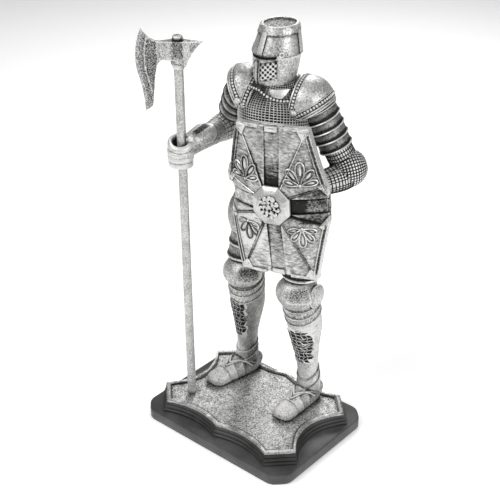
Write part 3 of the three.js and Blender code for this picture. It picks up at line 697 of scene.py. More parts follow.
def helm():
    """A tapering bucket with a sight slit, a brow, crossing bands, breath holes and a sunk top."""
    slit_low, slit_high = SLIT - 0.25, SLIT + 0.35
    heights = [(85.2, -1.5), (85.3, -0.4), (85.7, -0.1), (86, 0)]
    heights += [(h, 0) for h in np.arange(86.6, slit_low - 0.2, 0.4)]
    heights += [(slit_low - 0.04, 0), (slit_low, -1), (slit_high, -1), (slit_high + 0.04, 0.12),
                (92.8, 0.12), (93.3, 0.04)]
    heights += [(h, 0) for h in np.arange(93.7, 98.6, 0.5)] + [(98.65, 0.08), (98.9, 0.06), (99, -0.12)]
    heights += [(98.95, -0.4), (98.6, -0.6), (98.45, -1.2)]
    rows = []
    for height, grow in heights:
        row = []
        for k in range(HELM_SIDES):
            azimuth = (360 * k / HELM_SIDES + 180) % 360 - 180
            uncut = grow == -1 and abs(azimuth) > SLIT_REACH
            row.append(helm_point(azimuth, height, 0.0 if uncut else grow))
        rows.append(row)
    forms = [skin(rows)]
    for middle, half in ((8, 9), (119, 10), (180, 13), (241, 10)):
        band = plain_plate(on_helm(middle - half, middle + half, BAND_FOOT, 98), 12, 14, 0.4)
        forms.append(darken(band, -0.2))
    forms.append(plain_plate(on_helm(-180, 180, 97.15, 98.85, 0.27), 96, 5, 0.4))
    for side in (-1, 1):
        def cheek(u, v, sunk):
            return helm_point(side * (CHEEK + CHEEK_WIDTH * u), 87.95 + 3.1 * v + 0.4 * u, 0.14 - sunk)

        forms.append(pierced(cheek, 7, 7, depth=-0.13,
                             every=lambda i, j: (i + j) % 2 == 0 and abs(i - 3) < 2.5 + j))
        for azimuth, radius in ((61.5, 0.42), (73.5, 0.26)):
            place = helm_point(side * azimuth, 93.1, 0.1)
            eyelet = spun([(radius * wide, high) for wide, high in (
                (0, -0.2), (0.7, -0.2), (0.8, 0.1), (1.25, 0.16), (1.6, 0.06), (1.7, -0.2))], 20)
            turned = rotation(side * azimuth) @ rotation(90, "X")
            forms.append(moved(eyelet, Matrix.Translation(place) @ turned))

    def keel(u, v, sunk):
        return helm_point((-7 + 12 * u) * (0.5 + 0.5 * v), 86.1 + 5.3 * v, 0.28 - sunk)

    forms.append(plain_plate(keel, 3, 12))
    seam = [Vector((3.4 * math.sin(a) - 0.5, 0.6 - 3.4 * math.cos(a), 98.47))
            for a in np.linspace(-0.2, 1.3, 12)]
    forms.append(darken(tube(seam, 0.12, 6), 0.8))
    beside = [helm_point(-2 - 3 * t, 93 + 4.1 * t, 0.04) for t in np.linspace(0, 1, 10)]
    forms.append(darken(tube(beside, 0.2, 6), 0.7))
    return merged(*forms)


def helm_shade(place):
    """The sunk top is dull and its lip is bright. The lower face on the axe's side carries a painted
    highlight, and the left cheek is bright.
    """
    reach, azimuth = math.hypot(place.x, place.y), azimuth_of(place)
    if place.z > 98 and math.hypot(place.x, place.y - 0.84) < CROWN_HOLE:
        return 0.58
    if place.z > 98.55:
        return -0.3
    cheek = 87 < place.z < 91.4 and CHEEK < azimuth < CHEEK + CHEEK_WIDTH
    return -0.2 if place.z < 91.6 and reach > 4.2 and (azimuth < 7 or cheek) else -0.05


piece("helm", helm(), HELM, helm_metal, "antique_silver", "knight_figure", shade=helm_shade)

# Mail and torso, in the torso's own turned frame

BEAD_GAP = 0.78


def mail_shirt():
    """The mail over the chest, whose rings show as dark square holes in a bright net."""
    rings = [ring((-0.4, 0, 63.6), 8.3, 6), ring((-0.2, 0, 70), 9, 6.2, 0, 2.2),
             ring((0, 0, 76), 9.8, 6.7, 0, 2.3), ring((0, 0.1, 80.5), 9.6, 6.4, 0, 2.3),
             ring((0, 0.3, 83.6), 8, 5.4), ring((-0.3, 0.2, 84.8), 5.6, 4.8)]
    return mail(loft(eased(rings, 7), 84), wall=0.15, depth=-0.15, least=0.15, hollow=0.9)


def hem_height(azimuth):
    """The hem hangs lowest in front of the shield arm and rises round the neck."""
    return 82.7 + 2.35 * min(1, ((azimuth - 33) / 55) ** 2)


def camail():
    """The mail that hangs from the helm over the collar, its beaded hem and the gorget plate on it."""
    rings = [ring((-0.2, -0.2, 0), 7.2, 6.4), ring((-0.2, -0.2, 0.2), 6.7, 6.2),
             ring((-0.2, -0.1, 0.42), 6, 5.7), ring((-0.1, 0.2, 0.7), 5.2, 5),
             ring((-0.1, 0.2, 1), 4.4, 4.2)]

    def hung(place):
        low = hem_height(azimuth_of(place))
        return Vector((place.x, place.y, low + (86.8 - low) * place.z))

    net = loft(eased(rings, 3), 60)
    for vert in net.verts:
        vert.co = hung(vert.co)
    # The whole camail is darker: painted shade under the helm.
    net = mail(darken(net, 0.35), wall=0.09, depth=-0.12, least=0.1, hollow=0.8)
    round_neck = np.linspace(0, math.tau, 97)
    hem = [hung(Vector((-0.2 + 7.25 * math.sin(a), -0.2 - 6.45 * math.cos(a), 0))) for a in round_neck]
    band = tube(hem[:-1], 0.3, closed=True)
    beads = [point + Vector((math.sin(a), -math.cos(a), 0.1)) * 0.22 for point, a in zip(hem, round_neck)]

    def plate(u, v, sunk):
        azimuth = 17 + 62 * (u - 0.5) * (0.25 + 0.75 * v)
        a, low = math.radians(azimuth), hem_height(azimuth) + 0.45
        wide, deep = 6.9 - 1.2 * v - sunk, 6.4 - 0.9 * v - sunk
        return Vector((-0.2 + wide * math.sin(a), -0.1 - deep * math.cos(a), low + (85 - low) * v))

    gorget = plain_plate(plate, 14, 6)
    return merged(net, darken(band, 0.6), studs(spaced(beads, BEAD_GAP), 0.3), darken(gorget, -0.15))


def fauld():
    """Four plates round the hips and a rolled belt above them."""
    hip, belt = ring((-1.1, -0.4, 52.6), 11, 7.8, -8), ring((-0.8, -0.2, 63.4), 8.4, 6, -4)
    rings = [ring((-1.1, -0.7, 46), 7.6, 5.4, -14), ring((-1.1, -0.5, 52.4), 9.4, 6.6, -10)]
    rings += lames(hip, belt, 4, -0.45)
    rings += [ring((-0.7, -0.1, 63.6), 8.6, 6.2), ring((-0.6, 0, 64.1), 8.75, 6.35),
              ring((-0.6, 0, 64.6), 8.6, 6.2), ring((-0.5, 0, 65), 8.2, 5.9)]
    return loft(rings, 88)


def rosette():
    """A rimmed disc with eight round petals, on the belt at the side of the axe arm."""
    petals = [ball((1.35 * math.sin(a), 0, 1.35 * math.cos(a)), (0.62, 0.5, 0.62), around=12, rows=8)
              for a in angles(8)]
    disc = spun([(0, -0.4), (2.1, -0.4), (2.25, -0.1), (2.2, 0.25), (1.95, 0.35), (1.8, 0.1), (0, 0.1)], 48)
    middle = ball((0, -0.1, 0), (0.75, 0.75, 0.75), around=16, rows=10)
    form = merged(moved(disc, rotation(90, "X")), middle, *petals)
    return merged(moved(form, Matrix.Translation((-11.6, -1.6, 61.6)) @ rotation(-78)),
                  ball((-10.2, -1.6, 61.6), (1.5, 2, 2), around=24, rows=14))


def mail_shade(place):
    """Painted shade under the helm on the side of the axe arm, by the shoulder plate; the rest of the mail
    is a little lighter.
    """
    return 0.8 * clamped((-4 - azimuth_of(place)) / 10) * clamped((place.z - 80.5) / 2) - 0.1


piece("mail_shirt", merged(mail_shirt(), camail()), TORSO, mail_metal, "antique_silver", "knight_figure",
      shade=mail_shade)
piece("waist_plates", merged(fauld(), rosette()), TORSO, lame_metal, "antique_silver", "knight_figure")

# Shoulder plates

SHOULDERS = {
    "left": dict(side=1, middle=(7.4, 0, 81.4), radii=(6, 6.4, 5.9), inner=4, lean=11, bottom=78.7,
                 rim=33),
    "right": dict(side=-1, middle=(8.1, 0, 82.4), radii=(5.4, 6.4, 6.1), inner=6, lean=-18, bottom=80.2,
                  rim=62),
}


def trimmed(form, planes):
    """Cuts a shell by planes and gives the points of the edge that each one leaves."""
    for point, normal in planes:
        cut(form, point, normal, clear=True)
    rims = []
    for point, normal in planes:
        lying = [edge for edge in form.edges if edge.is_boundary
                 and all(abs((vert.co - point).dot(normal)) < 1e-3 for vert in edge.verts)]
        rims.append(in_order(lying) if lying else [])
    return rims


def line_on(form, point, normal):
    """The points where a plane crosses a shell."""
    copy = form.copy()
    edges = [part for part in cut(copy, point, normal) if isinstance(part, bmesh.types.BMEdge)]
    out = in_order(edges) if edges else []
    copy.free()
    return out


def pauldron(side, middle, radii, inner, lean, bottom, rim):
    """A domed plate with a rolled double rim and rows of beads beside its edges."""
    form = ball(middle, radii, around=72, rows=48)
    a, b = math.radians(lean), math.radians(rim)
    inward, outward = Vector((-math.cos(a), 0, math.sin(a))), Vector((math.sin(b), 0, -math.cos(b)))
    inner_at, outer_at = Vector((inner, 0, bottom)), Vector((8.2, 0, bottom + 0.3))
    bottom_at, down = Vector((0, 0, bottom)), Vector((0, 0, -1))
    edges = trimmed(form, [(inner_at, inward), (outer_at, outward), (bottom_at, down)])
    beads = []
    for place, normal, inset in ((inner_at, inward, 0.72), (outer_at, outward, 1.3)):
        beads += spaced(line_on(form, place - normal * inset, normal), BEAD_GAP)
    darken(form, 0.75,
           [vert for vert in form.verts if min((vert.co - bead).length for bead in beads) < 0.62])
    beside = ((inner_at, inward, 1.3), (outer_at, outward, 0.55), (outer_at, outward, 1.9))
    lines = [line_on(form, place - normal * inset, normal) for place, normal, inset in beside]
    bmesh.ops.solidify(form, geom=form.faces[:], thickness=0.6)
    forms = [form, studs(beads, 0.34)]
    bars = [(edge, 0.24) for edge in edges] + list(zip(lines, (0.1, 0.17, 0.1)))
    forms += [tube(line, radius) for line, radius in bars if len(line) > 3]
    rivet = Vector((inner + 1.75, 0, bottom + 1.55))
    off_x, off_z = (rivet.x - middle[0]) / radii[0], (rivet.z - middle[2]) / radii[2]
    front = math.sqrt(max(0, 1 - off_x ** 2 - off_z ** 2))
    forms.append(ball(rivet - Vector((0, front * radii[1], 0)), (0.8, 0.8, 0.8), around=20, rows=12))
    whole = merged(*forms)
    bmesh.ops.recalc_face_normals(whole, faces=whole.faces)
    return moved(whole, Matrix.Scale(-1, 4, (1, 0, 0))) if side < 0 else whole


pauldrons = merged(*(pauldron(**SHOULDERS[side]) for side in ("left", "right")))
piece("shoulder_plates", pauldrons, TORSO, polished, "antique_silver", "knight_figure")

# Arms

def left_arm():
    """Five plates down the upper arm, then mail over the elbow and the forearm to the shield's back."""
    upper, lower = ring((8.4, 0, 82), 4.3, 4.6), ring((13.9, 1.3, 70.4), 3.6, 3.8)
    plates = loft(lames(upper, lower, 5, 0.5), 64, level=False)
    hand = TORSO.inverted() @ (SHIELD @ bowed(0.004, 0.002, 0.0051))
    sleeve = loft(eased([ring((13.7, 1.2, 71.2), 3.4, 3.6), ring((15.2, 1.6, 68), 3.5, 3.5),
                         ring((16, 1.7, 66.4), 3.2, 3.2)], 4), 32, level=False)
    forearm = loft(eased([ring((17.4, 1.6, 64.2), 3.3, 3.3), ring((15.4, -0.8, 63.6), 3.4, 3.4),
                          ring((10.6, -5.2, 62.4), 2.7, 2.6),
                          ring(hand + Vector((1.6, 0.8, 0.3)), 2.4, 1.9)], 8), 30, level=False,
                   across=(0, 0, 1))
    cap = ball((16.9, 1.8, 65.2), (4.4, 4.3, 4.4), lean=41, tip=-101, around=38, rows=20)
    mailed = [mail(form, wall=0.16, depth=0.22, least=0.25, hollow=1.0) for form in (sleeve, forearm, cap)]
    return plates, merged(*mailed), ball(hand, (2.6, 1.7, 2.6))


# The right forearm runs from the elbow to the wrist, and the fist holds the pole at the grip.
GRIP_HEIGHT = 68.8
GRIP = STANCE.inverted() @ Vector((POLE.x / UNIT, POLE.y / UNIT, GRIP_HEIGHT))
ELBOW, WRIST = Vector((-14.4, 6, 71)), GRIP + Vector((0, 0, 0.8))
FIST = GRIP + Vector((-0.25, -0.3, 0))
FIST_LEAN = math.radians(20)


def on_forearm(rings):
    """Rings along the forearm, each given as its share of the way, its lift and its two half-widths."""
    return [ring(ELBOW.lerp(WRIST, share) + Vector((0, 0, lift)), *size) for share, lift, *size in rings]


def right_arm():
    """Plates down the upper arm, a mailed elbow, the smooth forearm and its raised cuff plate."""
    shoulder, above_elbow = ring((-8.6, 0, 82.6), 4, 4.6), ring((-12.6, 4, 75.4), 3.4, 3.5)
    plates = loft(lames(shoulder, above_elbow, 3, 0.5), 64, level=False)
    elbow = loft(eased([ring((-12.4, 3.8, 76), 3.2, 3.3), ring((-13.8, 5.4, 72.8), 3.4, 3.5),
                        ring((-14.4, 6.2, 70), 2.6, 2.6)], 3), 20, level=False)
    bend = loft(eased(on_forearm([(-0.1, 0, 2.4, 2.4), (0.04, 0, 3.4, 3.3), (0.2, 0, 3.3, 3.15),
                                  (0.3, 0, 2.9, 2.8)]), 2), 19, level=False)
    mailed = [mail(form, wall=0.2, depth=0.24, least=0.25, hollow=1.3) for form in (elbow, bend)]
    forearm = loft(on_forearm([(0.25, 0, 3.05, 2.9), (0.27, 0, 3.15, 3), (0.3, 0, 3.1, 2.95),
                               (0.45, 0, 2.85, 2.75), (0.6, 0, 2.65, 2.6), (0.75, 0, 2.5, 2.5),
                               (0.87, 0, 2.45, 2.55), (0.97, 0, 2.3, 2.5)]), 56, level=False)
    cuff = loft(on_forearm([(0.5, 0.2, 2.7, 2.5), (0.52, 0.75, 3.1, 2.6), (0.56, 0.85, 3.15, 2.6),
                            (0.74, 0.7, 2.7, 2.4), (0.79, 0.55, 2.5, 2.3), (0.8, 0.2, 2.3, 2.2)]),
                56, level=False)
    return plates, merged(*mailed), merged(forearm, cuff)


def fist():
    """A closed hand round the pole: four fingers parted by shallow lines, a thumb and a knuckle stud."""
    outer = []
    for i in range(4):
        low = GRIP_HEIGHT + (i - 2) * 1.55
        swell = 3.0 + 0.16 * (i in (1, 2))
        outer += [(swell - 0.1, low + 0.08), (swell, low + 0.4), (swell + 0.04, low + 0.8),
                  (swell, low + 1.2), (swell - 0.08, low + 1.47)]
    low, high = GRIP_HEIGHT - 3.3, GRIP_HEIGHT + 3.3
    section = [(1.5, low + 0.3), (2.2, low + 0.05), *outer, (2.62, high - 0.05), (2.2, high - 0.1),
               (1.9, high - 0.7), (1.6, high - 2.2)]
    rows = []
    for r, z in section:
        row = []
        for a in angles(48):
            x, y = r * math.cos(a), 0.94 * r * math.sin(a)
            drop = 0.36 * (x * math.sin(FIST_LEAN) - y * math.cos(FIST_LEAN))
            drop *= clamped((z - GRIP_HEIGHT + 1.2) / 4)
            row.append(Vector((x, y, z - drop)))
        rows.append(row)
    hand = skin(rows, closed=True)
    # The hollow inside the fist is darker: wash, and painted shade where the pole goes in.
    darken(hand, 0.9, [vert for vert in hand.verts if math.hypot(vert.co.x, vert.co.y) < 2])
    moved(hand, Matrix.Translation((FIST.x, FIST.y, 0)))
    bends = (((2.1, 1.6, 0.2), 0.75), ((2.45, 0.2, 0.4), 0.85), ((2.1, -1.4, 0.3), 0.8),
             ((1, -2.5, 0), 0.6))
    thumb = eased([ring(GRIP + Vector(place), size, size) for place, size in bends], 6)
    return merged(hand, loft(thumb, 20, level=False, across=(0, 0, 1)),
                  ball(GRIP + Vector((2.6, -0.3, 4.1)), (0.9, 0.9, 0.9), around=20, rows=14))


def gauntlet_shade(place):
    """The fist is lighter, and a painted shadow line parts the cuff plate from the forearm under it. Above
    that line the forearm is a little lighter, elsewhere a little darker.
    """
    if (place.xy - FIST.xy).length < 3.6 and abs(place.z - GRIP_HEIGHT) < 4.5:
        return -0.22
    way = WRIST - ELBOW
    share = (place - ELBOW).dot(way) / way.length_squared
    off = place - ELBOW - way * share
    rise = math.degrees(math.atan2(off.z, off.x * math.sin(FIST_LEAN) - off.y * math.cos(FIST_LEAN)))
    if 0.46 < share < 0.82 and 70 < rise < 86:
        return 0.75
    return -0.1 if 0.46 < share < 0.93 and 86 <= rise < 130 else 0.08


left_plates, left_mail, left_hand = left_arm()
right_plates, right_mail, forearm_plates = right_arm()
piece("arm_plates", merged(left_plates, right_plates), TORSO, lame_metal, "antique_silver", "knight_figure")
# The mail on the axe arm is painted much lighter, a painted highlight against the shade of the plates above
# it; the shield arm's mail is a little darker.
piece("arm_mail", merged(left_mail, right_mail), TORSO, arm_mail_metal, "antique_silver", "knight_figure",
      shade=lambda place: 0.13 if place.x > 0 else -0.75)
piece("gauntlets", merged(forearm_plates, fist(), left_hand), TORSO, polished, "antique_silver",
      "knight_figure", shade=gauntlet_shade)

# Legs, in the figure's own frame

SHOE_WIDTH = 2.75
LEGS = {
    "right": dict(side=-1, hip=(-5.2, 8.2, 53), knee=(-9.1, 8, 32.3), ankle=(-10.35, 9.7, 6.1),
                  toe=(-12.8, -2.1)),
    "left": dict(side=1, hip=(5.2, 8.6, 53), knee=(8.6, 8, 32.7), ankle=(10.85, 9.7, 6.6),
                 toe=(10.8, -2.4)),
}
KNEE_CAP = (5.3, 4.9, 4.4)


def on_rings(rings, height, angle, lift):
    """A place on a level loft, by its height and its angle from the front."""
    spot = float(np.interp(height, [r[2] for r in rings], range(len(rings))))
    i = min(int(spot), len(rings) - 2)
    x, y, z, wide, deep, turn, power = between(rings[i], rings[i + 1], spot - i)
    s, c = squared(angle, power)
    flat = Matrix.Rotation(math.radians(turn), 3, "Z") @ Vector(((wide + lift) * s, -(deep + lift) * c, 0))
    return Vector((x, y, z)) + flat


def greave_net(rings, low, high, middle, half, seed):
    """A net of uneven holes sunk in the front of a greave."""
    a, b = math.radians(middle - half), math.radians(middle + half)

    def wall(u, v, sunk):
        lift = -0.2 if max(abs(u - 0.5), abs(v - 0.5)) > 0.499 else 0.28
        return on_rings(rings, low + (high - low) * v, a + (b - a) * u, lift - sunk)

    net = pierced(uneven(wall, 7, 12, 0.3, seed), 7, 12, wall=0.19, depth=-0.15, thick=0.6, hollow=1.3,
                  every=lambda i, j: ((i - 3) / 3.1) ** 2 + ((j - 5.5) / 5.6) ** 2 < 1)
    layer = net.verts.layers.float["shade"]
    return darken(net, -0.25, [vert for vert in net.verts if not vert[layer]])


def swept(form, at, front, rise):
    """Lifts a form towards its back, so that its level lines sag at the front."""
    for vert in form.verts:
        azimuth = math.atan2(vert.co.x - at[0], at[1] - vert.co.y)
        vert.co.z += rise * (0.2 - 0.5 * math.cos(azimuth - math.radians(front)))
    return form


def shin(knee, ankle, share, back, wide, deep):
    """A ring round the shin, at its share of the way from the ankle to the knee."""
    return ring(Vector(ankle).lerp(Vector(knee), share) + Vector((0, back, 0)), wide, deep)


def greave(side, knee, ankle):
    """The plate round the shin, the net sunk in its front and two bands that droop over the ankle."""
    sizes = ((0, 0, 2.9, 3.2), (0.12, 0, 2.6, 2.8), (0.3, 0.2, 2.9, 3.2), (0.48, 0.5, 3.6, 4.2),
             (0.62, 0.6, 4.2, 4.8), (0.76, 0.4, 4.35, 4.8), (0.86, 0, 4.3, 4.6))
    rings = eased([ring((ankle[0], ankle[1], 2.4), 2.6, 3.2), *(shin(knee, ankle, *size) for size in sizes)],
                  8)
    net = (12, 24, 18, 68, 4) if side > 0 else (11.6, 26.4, -6, 55, 9)
    forms = [loft(rings, 72), greave_net(rings, *net)]
    for height, droop, radius in ((ankle[2] + 2.6, 1.5, 0.24), (ankle[2] + 0.6, 2.1, 0.2)):
        band = [on_rings(rings, height - droop * math.cos(a), a, 0.06) for a in angles(60)]
        forms.append(tube(band, radius, closed=True))
    return merged(*forms)


def cuisse(side, hip, knee):
    """The plates down the thigh and the round plate over the hip."""
    low = ring(Vector(knee) + Vector((side * 0.3, 0.2, 4.6)), 4.9, 4.7)
    high = ring(Vector(hip) + Vector((side * 0.6, 1, 0)), 6.2, 6)
    plates = loft([*lames(low, high, 4, -0.45), ring(Vector(hip) + Vector((0, 1, 3)), 4.6, 4.6)], 72)
    return merged(plates, ball(Vector(hip) + Vector((side * 3.2, -1, -3.5)), (4.2, 4.8, 6.5)))


def knee_lames(knee, ankle):
    """Three plates under the knee cap that sag at the front."""
    sizes = ((0.73, 0.3, 4.5, 4.9), (0.81, 0.1, 4.65, 5), (0.89, 0, 4.7, 5), (0.95, 0, 4.5, 4.7))
    steps = [shin(knee, ankle, *size) for size in sizes]
    plates = [part for low, high in zip(steps, steps[1:]) for part in lames(low, high, 1, -0.35)]
    top = ring(Vector(knee) + Vector((0, 0, 3)), 4.2, 4.4)
    return swept(loft([shin(knee, ankle, 0.7, 0.3, 3.9, 4.3), *plates, top], 72), knee, 20, 3.8)


def knee_middle(knee):
    """The middle of the cap, which stands out in front of the knee."""
    return Vector(knee) + Vector((0, -1.4, 0.2))


def knee_cap(side, knee):
    """The domed cap with two lines round its lower half, and the rimmed wing on its outer side."""
    middle = knee_middle(knee)
    cap = ball(middle, KNEE_CAP, lean=-10, around=64, rows=40)
    forms = [cap]
    tilt = Vector((0, -0.35, 1)).normalized()
    for drop in (1.9, 2.8):
        line = spaced(line_on(cap, middle - Vector((0, 0, drop)), tilt), 0.5)
        forms.append(tube(line[:-1], 0.18, closed=True))
    wing = Vector(knee) + Vector((side * 4.6, 0.6, 0))
    forms.append(ball(wing, (1.1, 2.8, 3), around=32, rows=20))
    rim = [wing + Vector((side * 0.25, 2.75 * math.cos(a), 2.95 * math.sin(a))) for a in angles(32)]
    return merged(*forms, tube(rim, 0.24, closed=True))


def knee_panel(side, knee):
    """The stippled plate on the outer front of the cap, darker towards its top."""
    middle = knee_middle(knee)

    def facet(u, v, sunk):
        azimuth = math.radians((45 if side > 0 else 58) + 66 * (u - 0.5) * (1.1 - 0.2 * v))
        up, lift = -0.12 + 0.78 * v, 1.06 - sunk * 0.2
        level = math.sqrt(1 - up * up)
        wide, deep, high = KNEE_CAP
        return middle + Vector((wide * level * math.sin(azimuth), -deep * level * math.cos(azimuth),
                                high * up)) * lift

    panel = plain_plate(facet, 11, 9, 0.6)
    for vert in panel.verts:
        darken(panel, (-0.12 if side > 0 else 0.05) + 0.13 * (vert.co.z - middle.z), [vert])
    return panel


def shoe(ankle, toe):
    """The pointed shoe with two lames over its instep, cut flat at the sole, and its crossed straps."""
    wide, heel_y, toe_y = SHOE_WIDTH, ankle[1], toe[1]

    def middle_x(y):
        return toe[0] + (ankle[0] - toe[0]) * ((y - toe_y) / (heel_y - toe_y))

    def step(y, half, height):
        return ring((middle_x(y), y, height * 0.36), half, height * 0.64, 0, 2.4)

    heel = [step(heel_y + 2.7, 1.6, 3), step(heel_y + 2.4, 2.2, 4.3), step(heel_y + 1.9, 2.4, 5),
            step(heel_y - 0.6, wide, 6), step(heel_y - 2.6, wide, 5.5)]
    vamp = lames(step(heel_y - 2.7, wide + 0.15, 5.6), step(toe_y + 4.4, wide + 0.1, 3.8), 2, -0.18)
    tip = [step(toe_y + 4.3, wide + 0.05, 3.7), step(toe_y + 1.3, wide + 0.05, 2.9),
           step(toe_y + 0.3, wide - 0.4, 2.2), step(toe_y, 1.9, 1.3)]
    form = loft([*eased(heel, 3), *vamp, *eased(tip, 3)], 48, level=False)
    cut(form, (0, 0, 0), (0, 0, -1), clear=True)
    bmesh.ops.holes_fill(form, edges=[edge for edge in form.edges if edge.is_boundary], sides=0)
    straps = []
    for back, front, across in ((0.4, 4.4, 1), (0.4, 4.4, -1), (-1.2, 5.8, 1), (-1.2, 5.8, -1)):
        path = []
        for t in np.linspace(0, 1, 14):
            turn = math.radians(across * 82 * (1 - t))
            y = heel_y + back + (toe_y + front - heel_y - back) * t
            along = [toe_y + 1.3, toe_y + 4.4, heel_y - 2.7, heel_y + 1]
            high = float(np.interp(y, along, [2.9, 3.9, 5.7, 6.1]))
            out = 1.02 + 0.06 * math.sin(2 * turn) ** 2
            path.append(Vector((middle_x(y) + (wide + 0.1) * out * math.sin(turn), y,
                                high * (0.37 + 0.65 * out * math.cos(turn)))))
        straps.append(darken(tube(path, 0.24), -0.35))
    return merged(form, *straps)


def leg(side, hip, knee, ankle, toe):
    """One leg: its greave, thigh plates, knee, shoe and knee panel."""
    return (greave(side, knee, ankle), cuisse(side, hip, knee),
            merged(knee_lames(knee, ankle), knee_cap(side, knee)), shoe(ankle, toe), knee_panel(side, knee))


def greave_shade(place):
    """The greave behind carries painted shade down its inner side and towards its foot; the one in front is
    a little lighter.
    """
    if place.x > 0:
        return -0.08
    inner = clamped((place.x + 9.6) / 2)
    return 0.28 * inner * clamped((32 - place.z) / 8) + 0.2 * clamped((12 - place.z) / 4) * inner


def shoe_shade(place):
    """Darker towards the heel and the ankle, a little lighter at the toes."""
    return 0.3 * clamped((place.y - 2.5) / 3) - 0.05


greaves, cuisses, caps, shoes, panels = zip(*(leg(**LEGS[side]) for side in ("right", "left")))
piece("greaves", merged(*greaves), FIGURE, greave_metal, "antique_silver", "knight_figure",
      shade=greave_shade)
piece("leg_plates", merged(*cuisses), FIGURE, lame_metal, "antique_silver", "knight_figure")
piece("knee_caps", merged(*caps), FIGURE, polished, "antique_silver", "knight_figure")
piece("knee_panels", merged(*panels), FIGURE, stippled, "antique_silver", "knight_figure")
piece("shoes", merged(*shoes), FIGURE, shoe_metal, "antique_silver", "knight_figure", shade=shoe_shade)

# Shield

# The back of every raised plate lies in the plate behind it, and the arms' pieces end a little short.
PLATE_BACK = -0.0012
ARM_END = 0.985
SLICE = 0.003
HALF_WAIST, HALF_HEIGHT, HALF_STEP = SHIELD_WAIST / 2, SHIELD_HEIGHT / 2, SHIELD_WAIST_HEIGHT / 2
HALF_STRIP, CORE, FACET = ARM_STRIP / 2, BOSS_WIDTH / 2 - 0.001, BOSS_FACET / 2 + 0.001
HIP = (HALF_WAIST * 0.95, HALF_STEP * 1.15)
BRACKET_FACE, BORDER_FACE = PANEL_FACE - 0.0008, PANEL_FACE - 0.0004


def slab(points, front, back=PLATE_BACK, edge=0.0004, tilt=(0, 0)):
    """A flat plate with softened front edges, sliced so that it can follow the shield's bow. Its front
    may be tilted by so much a metre across and up, from its middle."""
    form = prism(points, front, back)
    middle_x, middle_z = (sum(places) / len(points) for places in zip(*points))
    bmesh.ops.recalc_face_normals(form, faces=form.faces)
    rim = [e for e in form.edges if all(abs(v.co.y - front) < 1e-7 for v in e.verts)]
    bmesh.ops.bevel(form, geom=rim, offset=edge, affect="EDGES", segments=2, profile=0.5, material=-1)
    for axis, places in zip((0, 2), zip(*points)):
        sliced(form, axis, np.arange(min(places) + SLICE, max(places), SLICE))
    for vert in form.verts:
        x, y, z = vert.co
        forward = clamped((back - y) / (back - front) * 1.3 - 0.3)
        vert.co = bowed(x, z, y + forward * (tilt[0] * (x - middle_x) + tilt[1] * (z - middle_z)))
    bmesh.ops.recalc_face_normals(form, faces=form.faces)
    return form


def shield_outline(inset):
    """The plan of the shield, drawn in by `inset`: wide ends, a stepped waist, eight corners."""
    head, foot, waist = (w / 2 - inset for w in (SHIELD_TOP, SHIELD_FOOT, SHIELD_WAIST))
    top, step = HALF_HEIGHT - inset, HALF_STEP - inset * 0.3
    half = [(head, top), (waist, step), (waist, -step), (foot, -top)]
    return half + [(-x, z) for x, z in reversed(half)]


def palmette(x, z, up):
    """Five outlined lobes fanned out from a bead."""
    forms = []
    for lobe in range(-2, 3):
        length = PALMETTE_HEIGHT * (up if up > 0 else -0.85 * up) * (1 - 0.15 * abs(lobe))
        angle = math.radians(lobe * 38) + (math.pi if up < 0 else 0)
        along = Vector((math.sin(angle), math.cos(angle)))
        across = Vector((along.y, -along.x))
        outline = []
        for a in angles(20):
            reach = length * (0.56 - 0.44 * math.cos(a))
            side = length * 0.17 * math.sin(a) * (1 - 0.35 * math.cos(a))
            spot = Vector((x, z)) + along * reach + across * side
            outline.append(bowed(spot.x, spot.y, PANEL_FACE - 0.0005))
        forms.append(tube(outline, 0.0005, 6, closed=True))
        heart = Vector((x, z)) + along * length * 0.62
        forms.append(ball(bowed(heart.x, heart.y, PANEL_FACE - 0.0001),
                          (length * 0.07, 0.0006, length * 0.22), tip=math.degrees(angle), around=10,
                          rows=8))
    forms.append(ball(bowed(x, z, PANEL_FACE), (0.0012, 0.0012, 0.0012), around=12, rows=8))
    return forms


def bowed_line(start, end, front, count, margin=0.0):
    """Points along a straight line on the bowed shield, which may stop short of its two ends."""
    (x0, z0), (x1, z1) = start, end
    return [bowed(x0 + (x1 - x0) * t, z0 + (z1 - z0) * t, front)
            for t in np.linspace(margin, 1 - margin, count)]


def quarter_plates(sx, sz):
    """The raised plates of one quarter: a flared panel and its ribs, two flanks and two brackets."""
    waist, top, step, strip, core, hip = HALF_WAIST, HALF_HEIGHT, HALF_STEP, HALF_STRIP, CORE, HIP
    end = (SHIELD_FOOT if sz < 0 else SHIELD_TOP) / 2
    shoulder = (end * 0.84, top * 0.86)
    forms = []

    def raised(points, front, edge=0.0004, tilt=(0, 0), shade=0.0):
        lean = (tilt[0] * sx, tilt[1] * sz)
        form = slab([(x * sx, z * sz) for x, z in points], front, edge=edge, tilt=lean)
        forms.append(darken(form, shade))

    raised([(FACET, core), shoulder, (end * 0.94, top * 0.87), hip, (core, FACET)], PANEL_FACE, 0.0005)
    raised([(strip, core), (strip, top * ARM_END), (shoulder[0], top * ARM_END), shoulder], FLANK_FACE,
           tilt=(-0.05, 0))
    raised([(core, strip), (waist * ARM_END, strip), (waist * ARM_END, step * 0.9), hip], FLANK_FACE,
           tilt=(0, -0.05))
    raised([(end * 0.7, top * 0.97), (end * 0.99, top * 0.998), (end * 1.02, top * 0.92),
            (end * 0.84, top * 0.84)], BRACKET_FACE, 0.0006, shade=-0.25)
    raised([(waist * 0.84, step * 1.2), (waist * 0.94, step * 1.4), (waist * 0.998, step),
            (waist * 0.998, step * 0.62)], BRACKET_FACE, 0.0006, shade=-0.2)
    for (x0, z0), (x1, z1) in (((FACET, core), shoulder), ((core, FACET), hip)):
        line = bowed_line((sx * x0, sz * z0), (sx * x1, sz * z1), PANEL_FACE - 0.0001, 12)
        forms.append(tube(line, 0.0006 if sz > 0 else 0.0008, 6))
    return forms


